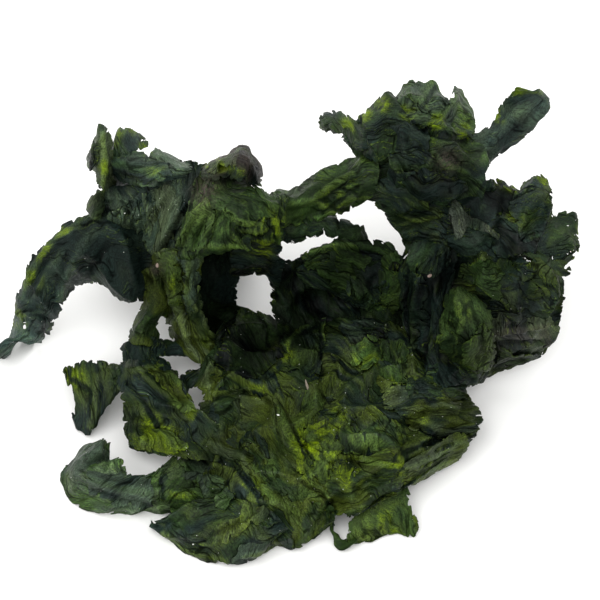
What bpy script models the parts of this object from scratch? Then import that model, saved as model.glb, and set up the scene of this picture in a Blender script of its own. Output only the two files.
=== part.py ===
"""A clump of dried sea lettuce: thin crumpled blades that dried stuck together, made as one solid.

Frame: metres, +Z up, origin on the table under the middle of the clump, front towards -Y.
Each blade is lofted through stations. A station is one line across the blade, given by its edges,
and in a broad blade by points between them, as (across, up, height) in millimetres: across and up
as they are seen from the front at VIEW_ELEVATION, height above the table. The sheet through them
bellies towards the viewer, waves along its rims, folds, and has torn edges. The blades are then
fused by one union.
"""

import math

import bmesh
import bpy
import numpy as np

MM = 0.001

# The direction that the blades are laid out from, all in millimetres.
VIEW_ELEVATION = math.radians(52)
VIEW_DISTANCE = 500.0
PICTURE_MIDDLE = np.array([3.9, 17.2, 12.0])

BLADE_THICKNESS = 1.0
CELL = 4.3  # length of a mesh cell along and across a blade
TORN_DEPTH = 0.8  # how far the torn rim strays from a blade's outline
TORN_SPACING = 9.0
FOLD_SPACING = 15.0
PINCH = 0.003  # narrower necks than this are closed before hollows are looked for
FLOOR_STEP = 0.12  # blades that lie on the table settle one on another by this much

RIGHT = np.array([1.0, 0.0, 0.0])
PICTURE_UP = np.array([0.0, math.sin(VIEW_ELEVATION), math.cos(VIEW_ELEVATION)])
TO_VIEWER = np.array([0.0, -math.cos(VIEW_ELEVATION), math.sin(VIEW_ELEVATION)])
EYE = PICTURE_MIDDLE + VIEW_DISTANCE * TO_VIEWER


def blade(stations, belly=4.0, ruffle=1.5, fold=1.0):
    """One blade. belly is how far its middle stands towards the viewer, ruffle how deep its rims
    wave, and fold how deep the creases over all of it are, in millimetres."""
    return {"stations": stations, "belly": belly, "ruffle": ruffle, "fold": fold}


BLADES = {
    # left: an arm that arches down to the table, and an upright leaf at its shoulder
    "left_arm": blade(
        [
            ((-38, 23, 34), (-35, 2, 22)),
            ((-46, 21.5, 38), (-41, 0, 19)),
            ((-53, 21, 39), (-46, 1.5, 20)),
            ((-60, 18.5, 36), (-51, 5.5, 23)),
            ((-66.5, 12.5, 29), (-57, 3, 18)),
            ((-69.5, 5, 20), (-60.5, -3, 12)),
            ((-71, -1.5, 13), (-62, -6.5, 7)),
            ((-71.5, -7, 7), (-65.5, -11, 3)),
            ((-73, -10, 4), (-70, -10, 3)),
            ((-75.5, -12.5, 1), (-73.5, -14, 1)),
        ],
        belly=5,
    ),
    "upright_leaf": blade(
        [
            ((-53, 20.5, 39), (-49, 20, 40)),
            ((-53, 24, 42), (-48.5, 26, 43)),
            ((-51.5, 29, 45), (-47.5, 29, 46)),
            ((-52.5, 34, 50), (-47, 33, 50)),
            ((-51.5, 39.5, 55), (-47, 40, 55)),
            ((-50.2, 44.5, 59), (-49.2, 44.5, 59)),
        ],
        belly=4,
        ruffle=0.5,
        fold=0.3,
    ),
    # upper left: a grey-green shoulder, its rolled collar, and a curly lobe with a hooked lip
    "shoulder": blade(
        [
            ((-48.5, 30, 42), (-49.5, 20.5, 37)),
            ((-43, 30, 45), (-45, 17.5, 34)),
            ((-37, 31, 48), (-40, 14.5, 31)),
            ((-31, 33, 50), (-35, 9.5, 29)),
            ((-25, 33.5, 51), (-30, 9.5, 31)),
            ((-18, 34, 50), (-25, 11, 34)),
        ],
        belly=5,
    ),
    "collar": blade(
        [
            ((-47.5, 38, 49), (-46.8, 32.5, 49)),
            ((-42, 37.5, 52), (-42.5, 30, 52)),
            ((-36.5, 36.8, 54), (-37.5, 29, 54)),
            ((-32, 35, 54), (-33, 30.5, 54)),
            ((-26, 33.5, 53), (-28, 31, 53)),
        ],
        belly=3,
        ruffle=0.8,
        fold=0.5,
    ),
    "tuft": blade(
        [
            ((-47, 35, 50), (-47, 37.5, 50)),
            ((-44, 34, 51), (-45.5, 42.5, 54)),
            ((-41, 34, 51), (-42.5, 42.5, 55)),
            ((-38, 34, 51), (-39.5, 40.5, 54)),
            ((-36.5, 36, 51), (-37, 39, 52)),
        ],
        belly=2,
        ruffle=0.8,
        fold=0.4,
    ),
    "curly_lobe": blade(
        [
            ((-24, 32, 51), (-32, 8.5, 34)),
            ((-18, 31, 52), (-24, 11, 38)),
            ((-12, 29, 49), (-16, 12, 38)),
            ((-7, 26.5, 45), (-10, 11, 35)),
            ((-3, 27, 42), (-5, 13, 33)),
        ],
        belly=6,
        fold=1.6,
    ),
    "hooked_lip": blade(
        [
            ((-24, 33, 51), (-22, 28.5, 51)),
            ((-18.5, 35, 54), (-18, 30, 54)),
            ((-15.3, 37.3, 57), (-15.5, 30.5, 57)),
            ((-12.8, 36.5, 57), (-14, 30, 57)),
            ((-10.8, 33, 54), (-13, 29.5, 55)),
            ((-10, 29.5, 50), (-12, 28.5, 52)),
        ],
        belly=3,
        ruffle=0.4,
        fold=0.4,
    ),
    # from the curly lobe down: a wrinkled pillar, and the shaded wall behind it
    "pillar": blade(
        [
            ((-36, 11, 34), (-24, 13, 37)),
            ((-34.5, 5, 28), (-25, 7, 31)),
            ((-32.5, -1, 21), (-25, 0.5, 23)),
            ((-31.5, -7, 14), (-23, -6, 15)),
            ((-30, -12.5, 9), (-21.5, -11, 9)),
            ((-26.5, -16, 6), (-22, -16, 6)),
        ],
        belly=4,
        ruffle=0.8,
    ),
    "cave_wall": blade(
        [
            ((-27, 15, 35), (-14, 14, 34)),
            ((-27, 6, 25), (-16, 5.5, 25)),
            ((-26.5, -1, 15), (-16, -2, 14)),
            ((-25.5, -7, 8), (-17, -5, 9)),
            ((-24.5, -13, 5), (-20, -10, 5)),
        ],
        belly=-3,
        ruffle=0.5,
        fold=0.8,
    ),
    "cave_lip": blade(
        [
            ((-17, 15, 44), (-17, 11, 36), (-17, 5.5, 27)),
            ((-12, 15, 44), (-12, 11, 36), (-12.5, 6.5, 27)),
            ((-7.5, 14, 41), (-8, 10.5, 34), (-8.5, 6, 26)),
            ((-3, 14, 39), (-4, 8.5, 28), (-5.5, 2, 20)),
        ],
        belly=2,
        ruffle=0.5,
        fold=0.5,
    ),
    # two bridges from the left lobes to the right ones
    "upper_bridge": blade(
        [
            ((-8, 26.5, 43), (-6, 18, 36)),
            ((-2.5, 28, 41), (-1, 19, 35)),
            ((2.8, 31.3, 42), (4, 20.5, 36)),
            ((8.8, 33.3, 44), (9, 21.8, 37)),
            ((14, 36, 46), (14, 23.8, 39)),
            ((20, 38, 48), (19, 26, 42)),
        ],
        belly=5,
        fold=1.3,
    ),
    "lower_bridge": blade(
        [
            ((-15, 16, 46), (-13, 12.5, 42)),
            ((-10, 19, 38), (-9, 12, 33)),
            ((-3, 22.5, 34), (-2, 14.5, 29)),
            ((2.5, 22, 33), (3, 15.5, 29)),
            ((7, 21.5, 32), (5.5, 16.5, 29)),
            ((11, 20, 30), (9, 14.5, 25)),
            ((15, 19, 27), (12.5, 11, 20)),
            ((17.3, 15, 22), (16, 7, 15)),
        ],
        belly=3,
        ruffle=0.8,
        fold=0.8,
    ),
    # the middle: a flap under the bridges and the dark valley floor
    "middle_flap": blade(
        [
            ((-1.5, 9.5, 22), (0, 5, 16)),
            ((0.8, 11.8, 24), (4, 3, 15)),
            ((4, 13, 26), (8, 2, 14)),
            ((9, 14.5, 27), (13, -1, 12)),
            ((17, 15, 26), (19, -3, 11)),
            ((23, 14, 24), (24, -3, 11)),
            ((26, 10, 21), (28, -2, 11)),
        ],
        belly=3,
        ruffle=1.2,
    ),
    "valley": blade(
        [
            ((-5.5, 9.5, 27), (7.5, 10, 23), (25, 9.5, 24)),
            ((-5.5, 2.5, 18), (7.5, 2.5, 12), (26, 2.5, 16)),
            ((-4.5, -4.5, 10), (8.8, -6, 6), (27, -6, 9)),
            ((-4, -12, 5), (10, -13, 4), (27, -13, 6)),
        ],
        belly=0,
        ruffle=1,
        fold=1.3,
    ),
    # the broad front sheet, and the leaves and lobes along its edge
    "broad_sheet": blade(
        [
            ((-25, -16.5, 7), (-16, -2, 7), (-4, -5.5, 8), (11, -4.5, 8), (25, -6.5, 12), (35, -12, 12)),
            ((-26, -23, 8), (-15, -15, 12), (-2.5, -16, 14), (11, -16, 12), (25, -16, 14), (39, -18, 13)),
            ((-24.5, -30, 8), (-14, -27.5, 13), (-2, -29, 17), (11, -27.5, 14), (25, -26, 16), (43, -25, 11)),
            ((-27.5, -39, 8), (-15, -40, 12), (-2, -40, 14), (11, -39, 15), (25, -36.5, 13), (45.5, -32, 7)),
            ((-28.5, -48, 5), (-15, -50, 7), (-2.5, -51, 9), (10, -49, 9), (21, -46, 10), (36, -40, 7)),
            ((-24, -56, 2), (-14, -59, 2), (-2, -62, 1), (7, -56.5, 3), (16, -52, 5), (26.5, -46, 5)),
        ],
        belly=2,
        ruffle=1.8,
        fold=1.7,
    ),
    "olive_strip": blade(
        [
            ((24, -42, 13.5), (26.5, -46.8, 5)),
            ((31, -38, 13.5), (31.5, -44.5, 3)),
            ((37.5, -34, 12.5), (38, -41, 3)),
            ((42.5, -33, 10.5), (41.5, -38.5, 5)),
        ],
        belly=2,
        ruffle=0.6,
        fold=0.4,
    ),
    "bottom_flag": blade(
        [
            ((12.8, -52, 6), (11.5, -61.5, 0.5)),
            ((18, -50, 8), (17, -61, 0)),
            ((22.5, -47.5, 8), (23, -59, 0)),
            ((26.5, -46.5, 6), (27.5, -59.5, 1)),
            ((27.5, -52, 3), (30.5, -57, 1.5)),
        ],
        belly=1.5,
        ruffle=0.5,
        fold=0.5,
    ),
    "flag_strand": blade(
        [
            ((6.5, -51, 11), (8.5, -51, 11)),
            ((6.8, -54, 4), (8.5, -54, 4)),
            ((7.8, -58, 2), (9.4, -57.5, 2)),
            ((9.5, -62.3, 1), (12, -60, 1)),
            ((13.5, -61.8, 3), (15.5, -59, 4)),
        ],
        belly=0.3,
        ruffle=0.1,
        fold=0.1,
    ),
    "bottom_lobe": blade(
        [
            ((-32, -53.5, 4), (-36.3, -57, 1)),
            ((-27, -50, 7), (-33, -60.5, 0)),
            ((-21, -49, 8), (-27, -64.5, 0)),
            ((-14, -48, 9), (-18, -66.3, 0)),
            ((-7, -49, 8), (-11, -65, 0)),
            ((-1, -51, 7), (-3.5, -61.5, 0)),
        ],
        belly=4,
        ruffle=1,
        fold=1.3,
    ),
    # lower left: a curved arm, a folded leaf with a twisted flag, and the curl above it
    "lower_left_arm": blade(
        [
            ((-50.5, -35.5, 12), (-48, -35, 13)),
            ((-53.8, -37.3, 9), (-48.8, -38.5, 12)),
            ((-57, -41.5, 4), (-48.5, -40.8, 11)),
            ((-59, -45, 1), (-45.5, -39.5, 12)),
            ((-57, -50, 0), (-43.8, -42.8, 11)),
            ((-52.5, -52.5, 0), (-41, -44, 10)),
            ((-43, -53.5, 0), (-36.5, -43.3, 9)),
            ((-35, -53.5, 1), (-31.5, -39.5, 8)),
            ((-28, -54, 2), (-24, -39, 8)),
            ((-20, -55, 4), (-14, -43, 10)),
        ],
        belly=4,
        fold=1.2,
    ),
    "folded_leaf": blade(
        [
            ((-44.3, -16, 14), (-34, -14.5, 14)),
            ((-44.3, -21, 13), (-30, -19.5, 13)),
            ((-44, -26, 11), (-26.3, -26, 13)),
            ((-43.5, -32.5, 7), (-20, -32, 12)),
            ((-42.5, -37.5, 3), (-17, -40, 10)),
        ],
        belly=4,
        ruffle=0.8,
    ),
    "twisted_flag": blade(
        [
            ((-42, -16.5, 14), (-42, -21, 13)),
            ((-46, -17.8, 13), (-46, -23, 11)),
            ((-50, -16, 11), (-49.5, -28.5, 6)),
            ((-54, -15.5, 9), (-52.8, -33.8, 1.5)),
            ((-57, -16.5, 7), (-56.8, -30, 1)),
            ((-59.5, -17, 6), (-57.8, -20, 6)),
        ],
        belly=1.5,
        ruffle=0.8,
        fold=0.4,
    ),
    "side_curl": blade(
        [
            ((-41, 8, 28), (-31, 9, 30)),
            ((-38.5, 1, 22), (-32, 1, 22)),
            ((-40, -3.5, 18), (-34.5, -3.5, 18)),
            ((-41.5, -7.5, 15), (-36.8, -7, 16)),
            ((-43.5, -10.5, 13), (-36.5, -11.5, 14)),
        ],
        belly=2.5,
        ruffle=0.4,
        fold=0.5,
    ),
    "dark_fold": blade(
        [
            ((-43.5, -10, 12), (-34, -8.8, 13)),
            ((-44.5, -12.5, 12), (-34, -12, 13)),
            ((-44.3, -17, 13), (-33.8, -15, 13)),
            ((-43.5, -21, 13), (-31.5, -19, 13)),
        ],
        belly=3,
        ruffle=0.5,
        fold=0.7,
    ),
    "link": blade(
        [
            ((-36, -9.8, 13), (-36, -14.3, 11)),
            ((-30.5, -10, 10), (-30, -14, 8)),
            ((-24, -9, 9), (-24, -15, 7)),
        ],
        belly=1,
        ruffle=0.2,
        fold=0.2,
    ),
    "dark_lobe": blade(
        [
            ((-31, -19.8, 12), (-29, -23, 11)),
            ((-28, -18, 9), (-27.3, -22.5, 8)),
            ((-23, -16, 8), (-24, -21.5, 8)),
        ],
        belly=1,
        ruffle=0.2,
        fold=0.2,
    ),
    # right: a column of long folds, the broad right blade and the bright leaf in front of it
    "column": blade(
        [
            ((26, 15, 29), (40, 17, 38)),
            ((25, 6, 22), (38.5, 8, 31)),
            ((25.5, -4, 15), (37.5, -2, 24)),
            ((28, -13, 13), (38, -11, 18)),
            ((31, -23, 13), (43, -20, 11)),
        ],
        belly=4,
        fold=1.2,
    ),
    "right_blade": blade(
        [
            ((36, 12, 31), (36, -1, 18), (40, -20.5, 5)),
            ((41.5, 12.5, 37), (43, -1, 26), (44, -20.5, 6)),
            ((47, 13, 38), (49, -2, 30), (48, -18.5, 4)),
            ((55, 12.5, 37), (57, -2, 28), (54.5, -16, 4)),
            ((62, 11, 34), (63, -1, 25), (60.5, -13.3, 6)),
            ((68.5, 8.8, 31), (66, 1, 23), (65, -6, 12)),
        ],
        belly=2,
        ruffle=1.6,
        fold=1.5,
    ),
    "bright_leaf": blade(
        [
            ((37, 3, 33), (42, 3, 34)),
            ((36, -3, 30), (47, -3, 33)),
            ((34.5, -10, 24), (48.5, -10, 27)),
            ((37, -15, 17), (48, -15.5, 17)),
            ((39.5, -19, 10), (46, -18.8, 8)),
        ],
        belly=4,
        ruffle=0.8,
        fold=0.7,
    ),
    "frill": blade(
        [
            ((32, -15, 16), (31, -22, 13)),
            ((40.5, -15.5, 15), (40.5, -22, 10)),
            ((47.5, -16.5, 11), (46.3, -20, 6)),
        ],
        belly=2.5,
        ruffle=0.8,
        fold=0.6,
    ),
    # upper right: a neck that widens into a crumpled crown, with a tongue each side
    "neck": blade(
        [
            ((14, 37.5, 46), (38, 41, 55)),
            ((15.5, 31, 44), (39.5, 33, 51)),
            ((17.3, 25, 40), (40, 25, 45)),
            ((21.7, 21, 36), (40, 20, 41)),
            ((25.5, 15, 30), (39, 14, 36)),
            ((28, 11, 26), (38, 9, 32)),
        ],
        belly=5,
        fold=1.3,
    ),
    "crown_left": blade(
        [
            ((10, 41, 44), (13, 37, 43)),
            ((14.5, 45.5, 51), (15.5, 35, 47)),
            ((17.5, 48, 56), (19.5, 35, 51)),
            ((21.5, 52, 59), (24, 36, 54)),
            ((25.5, 50.5, 59), (29, 37, 56)),
        ],
        belly=4,
        ruffle=0.8,
    ),
    "crown_top": blade(
        [
            ((24.5, 50.3, 59), (25, 42, 57)),
            ((28, 53.5, 60), (29, 41, 59)),
            ((31.3, 53.3, 60), (32.5, 40.5, 60)),
            ((34, 54.5, 60), (35, 40, 60)),
            ((36.8, 49.5, 58), (37.5, 40, 58)),
            ((38.8, 52.3, 57), (39.5, 40.5, 57)),
            ((41.8, 49.3, 53), (42.5, 41, 54)),
            ((43, 46, 50), (43.5, 41.5, 52)),
        ],
        belly=3,
        ruffle=0.8,
    ),
    "left_tongue": blade(
        [
            ((4.5, 46, 42), (4.3, 43.5, 41)),
            ((7, 47, 45), (7, 42.5, 44)),
            ((10.5, 46.8, 48), (10.5, 41, 46)),
            ((14.5, 44.3, 51), (12.8, 38.5, 48)),
            ((19, 43, 54), (17, 36.5, 51)),
        ],
        belly=2,
        ruffle=0.4,
        fold=0.4,
    ),
    "crown_front": blade(
        [
            ((22, 44, 58), (22, 29, 47)),
            ((29, 44, 61), (29.5, 24.5, 46)),
            ((36, 43, 61), (37, 24, 46)),
            ((42, 41, 57), (44, 23, 44)),
            ((46, 38, 51), (49, 24, 42)),
        ],
        belly=5,
        ruffle=1.3,
        fold=1.5,
    ),
    "right_arm": blade(
        [
            ((37, 40, 52), (38, 30, 45)),
            ((44, 41.5, 51), (45, 32.8, 45)),
            ((48, 43.5, 51), (50, 36.5, 46)),
            ((50.5, 48, 53), (56, 41, 48)),
            ((52.5, 51, 56), (61.3, 46.5, 51)),
            ((54.5, 53, 59), (62.3, 49.5, 54)),
            ((57.5, 52, 59), (60.5, 52.3, 57)),
        ],
        belly=2,
        ruffle=0.6,
        fold=0.5,
    ),
    "right_crest": blade(
        [
            ((36, 31, 48), (38, 14, 39)),
            ((45, 31, 47), (46.5, 12, 37)),
            ((50, 30, 45), (51, 11, 36)),
            ((54.5, 28, 43), (55.5, 10.5, 35)),
            ((59.5, 31, 44), (59, 12, 35)),
            ((62.5, 29.5, 43), (61.5, 18, 38)),
        ],
        belly=5,
        ruffle=1.5,
    ),
    "right_ruffle": blade(
        [
            ((53, 20, 39), (52, 11, 34)),
            ((59, 20.5, 38), (58, 10.5, 32)),
            ((64, 21.8, 36), (63, 9.5, 30)),
            ((68.8, 21, 34), (67, 10, 29)),
            ((69.5, 16, 31), (69.7, 12, 29)),
        ],
        belly=2.5,
        ruffle=1.2,
    ),
    # the back, out of the front's sight: two curtains that come down to the table and a low sheet
    "left_back": blade(
        [
            ((-45, 29, 41), (-47, 24, 22), (-44, 15, 1)),
            ((-37, 31, 46), (-38, 20, 24), (-37, 9, 0)),
            ((-29, 31, 47), (-28, 25, 25), (-27, 16, 0)),
            ((-20, 30, 47), (-20, 21, 23), (-20, 10, 0)),
            ((-11, 27, 42), (-12, 22, 22), (-13, 14, 1)),
        ],
        belly=-3,
        ruffle=1.5,
        fold=1.5,
    ),
    "right_back": blade(
        [
            ((24, 43, 56), (27, 32, 30), (30, 17, 1)),
            ((31, 43, 58), (34, 26, 30), (37, 12, 0)),
            ((38, 40, 57), (41, 30, 30), (43, 19, 0)),
            ((45, 30, 46), (48, 22, 24), (50, 12, 0)),
            ((53, 27, 42), (56, 23, 22), (58, 15, 1)),
        ],
        belly=-3,
        ruffle=1.5,
        fold=1.5,
    ),
    "rear_sheet": blade(
        [
            ((-3, 8, 2), (-3, -2, 3), (-3, -11, 9)),
            ((8, 9, 8), (8, -3, 1), (8, -12, 8)),
            ((20, 7, 2), (20, -4, 5), (20, -12, 9)),
            ((30, 10, 6), (30, -3, 2), (30, -12, 10)),
        ],
        belly=0,
        ruffle=1,
        fold=1.2,
    ),
}

DRIED_GREEN = (0.035, 0.06, 0.02, 1.0)


def seen(across, up, height):
    """The point at this height that shows at (across, up) from the front."""
    on_picture = PICTURE_MIDDLE + across * RIGHT + up * PICTURE_UP
    ray = on_picture - EYE
    return EYE + ray * (height - EYE[2]) / ray[2]


def smooth_run(points, knots, u):
    """A Catmull-Rom curve through the points, at each u, where point k stands at knots[k].

    The points are either the same for the whole grid u or one run of points for each place in it."""
    if points.ndim == 2:
        points = np.broadcast_to(points[:, None, None], (len(points), *u.shape, 3))
    padded = np.concatenate([2 * points[:1] - points[1:2], points, 2 * points[-1:] - points[-2:-1]])
    k = np.clip(np.searchsorted(knots, u, side="right") - 1, 0, len(points) - 2)
    t = ((u - knots[k]) / (knots[k + 1] - knots[k]))[..., None]
    before, here, there, after = (
        np.take_along_axis(padded, (k + i)[None, ..., None], axis=0)[0] for i in range(4)
    )
    slope_here, slope_there = (there - before) / 2, (after - here) / 2
    rise = there - here
    return (
        here
        + slope_here * t
        + (3 * rise - 2 * slope_here - slope_there) * t**2
        + (slope_here + slope_there - 2 * rise) * t**3
    )


def knots_through(points, axis):
    """Where each point of a net stands along one of its axes, from 0 to 1, and that axis's length."""
    steps = np.linalg.norm(np.diff(points, axis=axis), axis=2).mean(axis=1 - axis)
    places = np.concatenate([[0.0], np.cumsum(steps)])
    return places / places[-1], places[-1]


def waves(rng, spacing, *places):
    """Smooth uneven waves between about -1 and 1, with crests about one spacing apart."""
    total = 0.0
    for _ in range(5):
        heading = rng.uniform(0, 2 * math.pi)
        pitch = spacing * rng.uniform(0.7, 1.5)
        start = rng.uniform(0, 2 * math.pi)
        along = places[0] if len(places) == 1 else (
            places[0] * math.cos(heading) + places[1] * math.sin(heading)
        )
        total = total + np.sin(2 * math.pi * along / pitch + start)
    return total / 2.4


def normals_of(sheet):
    """The unit normals of a grid of points."""
    normal = np.cross(np.gradient(sheet, axis=0), np.gradient(sheet, axis=1))
    return normal / np.maximum(np.linalg.norm(normal, axis=-1, keepdims=True), 1e-9)


def middle_sheet(spec, seed):
    """The grid of points midway between the two faces of a blade."""
    net = np.array([[seen(*corner) for corner in row] for row in spec["stations"]])
    knots_along, length = knots_through(net, 0)
    knots_across, width = knots_through(net, 1)
    rows = max(3, round(length / CELL) + 1)
    columns = max(3, round(width / CELL) + 1)
    u, v = np.meshgrid(np.linspace(0, 1, rows), np.linspace(0, 1, columns), indexing="ij")
    rng = np.random.default_rng(seed)

    # torn edges: each rim strays from the outline
    torn = [waves(rng, TORN_SPACING, u * length) * TORN_DEPTH / width for _ in range(2)]
    v = v * (1 + torn[0]) + (1 - v) * torn[1]
    torn = [waves(rng, TORN_SPACING, v * width) * TORN_DEPTH / length for _ in range(2)]
    u = u * (1 + torn[0]) + (1 - u) * torn[1]

    rails = np.array([smooth_run(net[:, k], knots_along, u) for k in range(net.shape[1])])
    sheet = smooth_run(rails, knots_across, v)
    sheet = sheet + spec["belly"] * (4 * v * (1 - v))[..., None] * TO_VIEWER

    # folds over the whole blade, and deeper waves at its rims, which move along the line of sight
    s, t = u * length, v * width
    rim = np.maximum(np.abs(2 * v - 1), np.abs(2 * u - 1)) ** 3
    crease = 1 - 2 * np.abs(waves(rng, FOLD_SPACING, s, t))
    wave = waves(rng, FOLD_SPACING, s, t * 0.4)
    lift = spec["fold"] * crease + spec["ruffle"] * rim * wave
    facing = normals_of(sheet)
    facing = facing * np.sign((facing @ TO_VIEWER).mean())
    facing = facing + rim[..., None] * (TO_VIEWER - facing)
    return sheet + lift[..., None] * facing


def settle_on_table(sheet, order):
    """Lifts what would sink into the table, so that it lies on it."""
    lowest = BLADE_THICKNESS / 2 + FLOOR_STEP * (order % 6)
    sheet[..., 2] = np.maximum(sheet[..., 2], lowest)
    return sheet


def add_blade(name, sheet):
    """The closed thin solid round a middle sheet, with both faces split into triangles alike."""
    rows, columns = sheet.shape[:2]
    half = normals_of(sheet) * BLADE_THICKNESS / 2
    upper = (sheet + half).reshape(-1, 3)
    lower = (sheet - half).reshape(-1, 3)
    number = np.arange(rows * columns).reshape(rows, columns)
    below = rows * columns
    faces = []
    for i in range(rows - 1):
        for j in range(columns - 1):
            a, b, c, d = number[i, j], number[i + 1, j], number[i + 1, j + 1], number[i, j + 1]
            pair = [(a, b, c), (a, c, d)] if (i + j) % 2 else [(a, b, d), (b, c, d)]
            faces += pair
            faces += [tuple(below + corner for corner in reversed(face)) for face in pair]
    rim = [*number[0, :-1], *number[:-1, -1], *number[-1, :0:-1], *number[:0:-1, 0]]
    for a, b in zip(rim, rim[1:] + rim[:1]):
        faces += [(a, b, below + b), (a, below + b, below + a)]
    mesh = bpy.data.meshes.new(name)
    points = np.concatenate([upper, lower]) * MM
    mesh.from_pydata(points.tolist(), [], [tuple(int(k) for k in face) for face in faces])
    shape = bmesh.new()
    shape.from_mesh(mesh)
    bmesh.ops.recalc_face_normals(shape, faces=shape.faces)
    shape.to_mesh(mesh)
    shape.free()
    return bpy.data.objects.new(name, mesh)


def fuse(blades, name):
    """One object from all blades, by a Boolean union."""
    scene = bpy.context.scene.collection
    body = blades[0]
    scene.objects.link(body)
    others = bpy.data.collections.new("blades")
    scene.children.link(others)
    for piece in blades[1:]:
        others.objects.link(piece)
    union = body.modifiers.new("union", "BOOLEAN")
    union.operation = "UNION"
    union.solver = "MANIFOLD"
    union.operand_type = "COLLECTION"
    union.collection = others
    graph = bpy.context.evaluated_depsgraph_get()
    mesh = bpy.data.meshes.new_from_object(body.evaluated_get(graph))
    for piece in blades:
        bpy.data.objects.remove(piece)
    bpy.data.collections.remove(others)
    clump = bpy.data.objects.new(name, mesh)
    scene.objects.link(clump)
    return clump


def shells_of(shape):
    """The closed surfaces of a mesh, each as a list of faces. Two that touch stay apart."""
    left = set(shape.faces)
    shells = []
    while left:
        start = left.pop()
        shell, waiting = [start], [start]
        while waiting:
            for edge in waiting.pop().edges:
                if len(edge.link_faces) > 2:
                    continue
                for face in edge.link_faces:
                    if face in left:
                        left.remove(face)
                        shell.append(face)
                        waiting.append(face)
        shells.append(shell)
    return shells


def keep_outer_shell(clump):
    """Fills hollows that fusing has sealed and drops loose scraps, both of which are shells."""
    shape = bmesh.new()
    shape.from_mesh(clump.data)
    bmesh.ops.triangulate(shape, faces=shape.faces)
    bmesh.ops.dissolve_degenerate(shape, edges=shape.edges, dist=PINCH * MM)
    shells = sorted(shells_of(shape), key=len)
    for shell in shells[:-1]:
        bmesh.ops.delete(shape, geom=shell, context="FACES")
    shape.to_mesh(clump.data)
    shape.free()


def centre_on_table(clump):
    """Moves the clump so that its box stands on the table with its middle over the origin."""
    corners = np.array([corner.co[:] for corner in clump.data.vertices])
    low, high = corners.min(axis=0), corners.max(axis=0)
    middle = (low + high) / 2
    for corner in clump.data.vertices:
        corner.co.x -= middle[0]
        corner.co.y -= middle[1]
        corner.co.z -= low[2]


def dried_green():
    """Dried blade: dark green, satin, faintly translucent."""
    material = bpy.data.materials.new("dried_blade")
    material.use_nodes = True
    surface = material.node_tree.nodes["Principled BSDF"]
    surface.inputs["Base Color"].default_value = DRIED_GREEN
    surface.inputs["Roughness"].default_value = 0.6
    surface.inputs["Metallic"].default_value = 0.0
    return material


def main():
    for old in list(bpy.data.objects):
        bpy.data.objects.remove(old)
    pieces = []
    for order, (name, spec) in enumerate(BLADES.items()):
        sheet = settle_on_table(middle_sheet(spec, seed=order), order)
        pieces.append(add_blade(name, sheet))
    clump = fuse(pieces, "sea_lettuce")
    keep_outer_shell(clump)
    centre_on_table(clump)
    clump.data.materials.clear()
    clump.data.materials.append(dried_green())


main()
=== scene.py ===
import math

import bpy
import numpy as np
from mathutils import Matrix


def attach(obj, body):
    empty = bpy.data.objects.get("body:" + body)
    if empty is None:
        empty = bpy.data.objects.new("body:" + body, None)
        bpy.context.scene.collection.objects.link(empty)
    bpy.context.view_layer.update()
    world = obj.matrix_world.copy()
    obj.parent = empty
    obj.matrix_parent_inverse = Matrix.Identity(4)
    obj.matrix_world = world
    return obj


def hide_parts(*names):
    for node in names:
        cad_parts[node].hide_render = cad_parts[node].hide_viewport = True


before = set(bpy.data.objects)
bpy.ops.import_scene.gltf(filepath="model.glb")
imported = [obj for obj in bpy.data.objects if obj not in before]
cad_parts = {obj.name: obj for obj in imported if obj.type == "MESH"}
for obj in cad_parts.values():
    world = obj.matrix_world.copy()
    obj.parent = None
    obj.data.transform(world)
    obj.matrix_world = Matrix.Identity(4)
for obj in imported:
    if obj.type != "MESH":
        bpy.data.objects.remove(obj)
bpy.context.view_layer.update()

# A clump of dried sea lettuce. Lengths are in millimetres until a mesh is made.
# Each blade runs through stations of (across, up, height), as it is seen from the front, on the
# same sheets, seeds and folds as the solid, and then gets its fine creases, torn rims and layers.

mm = 0.001

view = {
    "elevation": math.radians(52),
    "distance": 500.0,
    "middle": np.array([3.9, 17.2, 12.0]),  # what the view looks at, before the clump is centred
    "across": 150.0,  # width of the view at the middle
}
settled = np.array([0.02, -0.03, 0.29])  # how far the solid was moved to stand over the origin

rightward = np.array([1.0, 0.0, 0.0])
pictureUp = np.array([0.0, math.sin(view["elevation"]), math.cos(view["elevation"])])
toViewer = np.array([0.0, -math.cos(view["elevation"]), math.sin(view["elevation"])])
eye = view["middle"] + view["distance"] * toViewer

# the solid's own rims and folds; every sixth blade keeps the same least height over the table
solidSheet = {"tornDepth": 0.8, "tornSpacing": 9.0, "foldSpacing": 15.0, "floorStep": 0.12}

fineSheet = {
    "thickness": 0.26,
    "cornerRound": 3.0,
    "lowest": 0.5,  # least height over the table
    "layerLowest": 0.8,  # and of a layer on a blade
    "flutter": 0.7,  # how far a rim stands up and down, how far in, and how far apart
    "flutterReach": 1.8,
    "flutterSpacing": 3.6,
    "drag": 0.25,  # how far the sheet is drawn sideways, and how far apart
    "dragSpacing": 2.0,
}


def blade(stations, belly=4.0, ruffle=1.5, fold=1.0):
    return {"stations": stations, "belly": belly, "ruffle": ruffle, "fold": fold}


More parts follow.
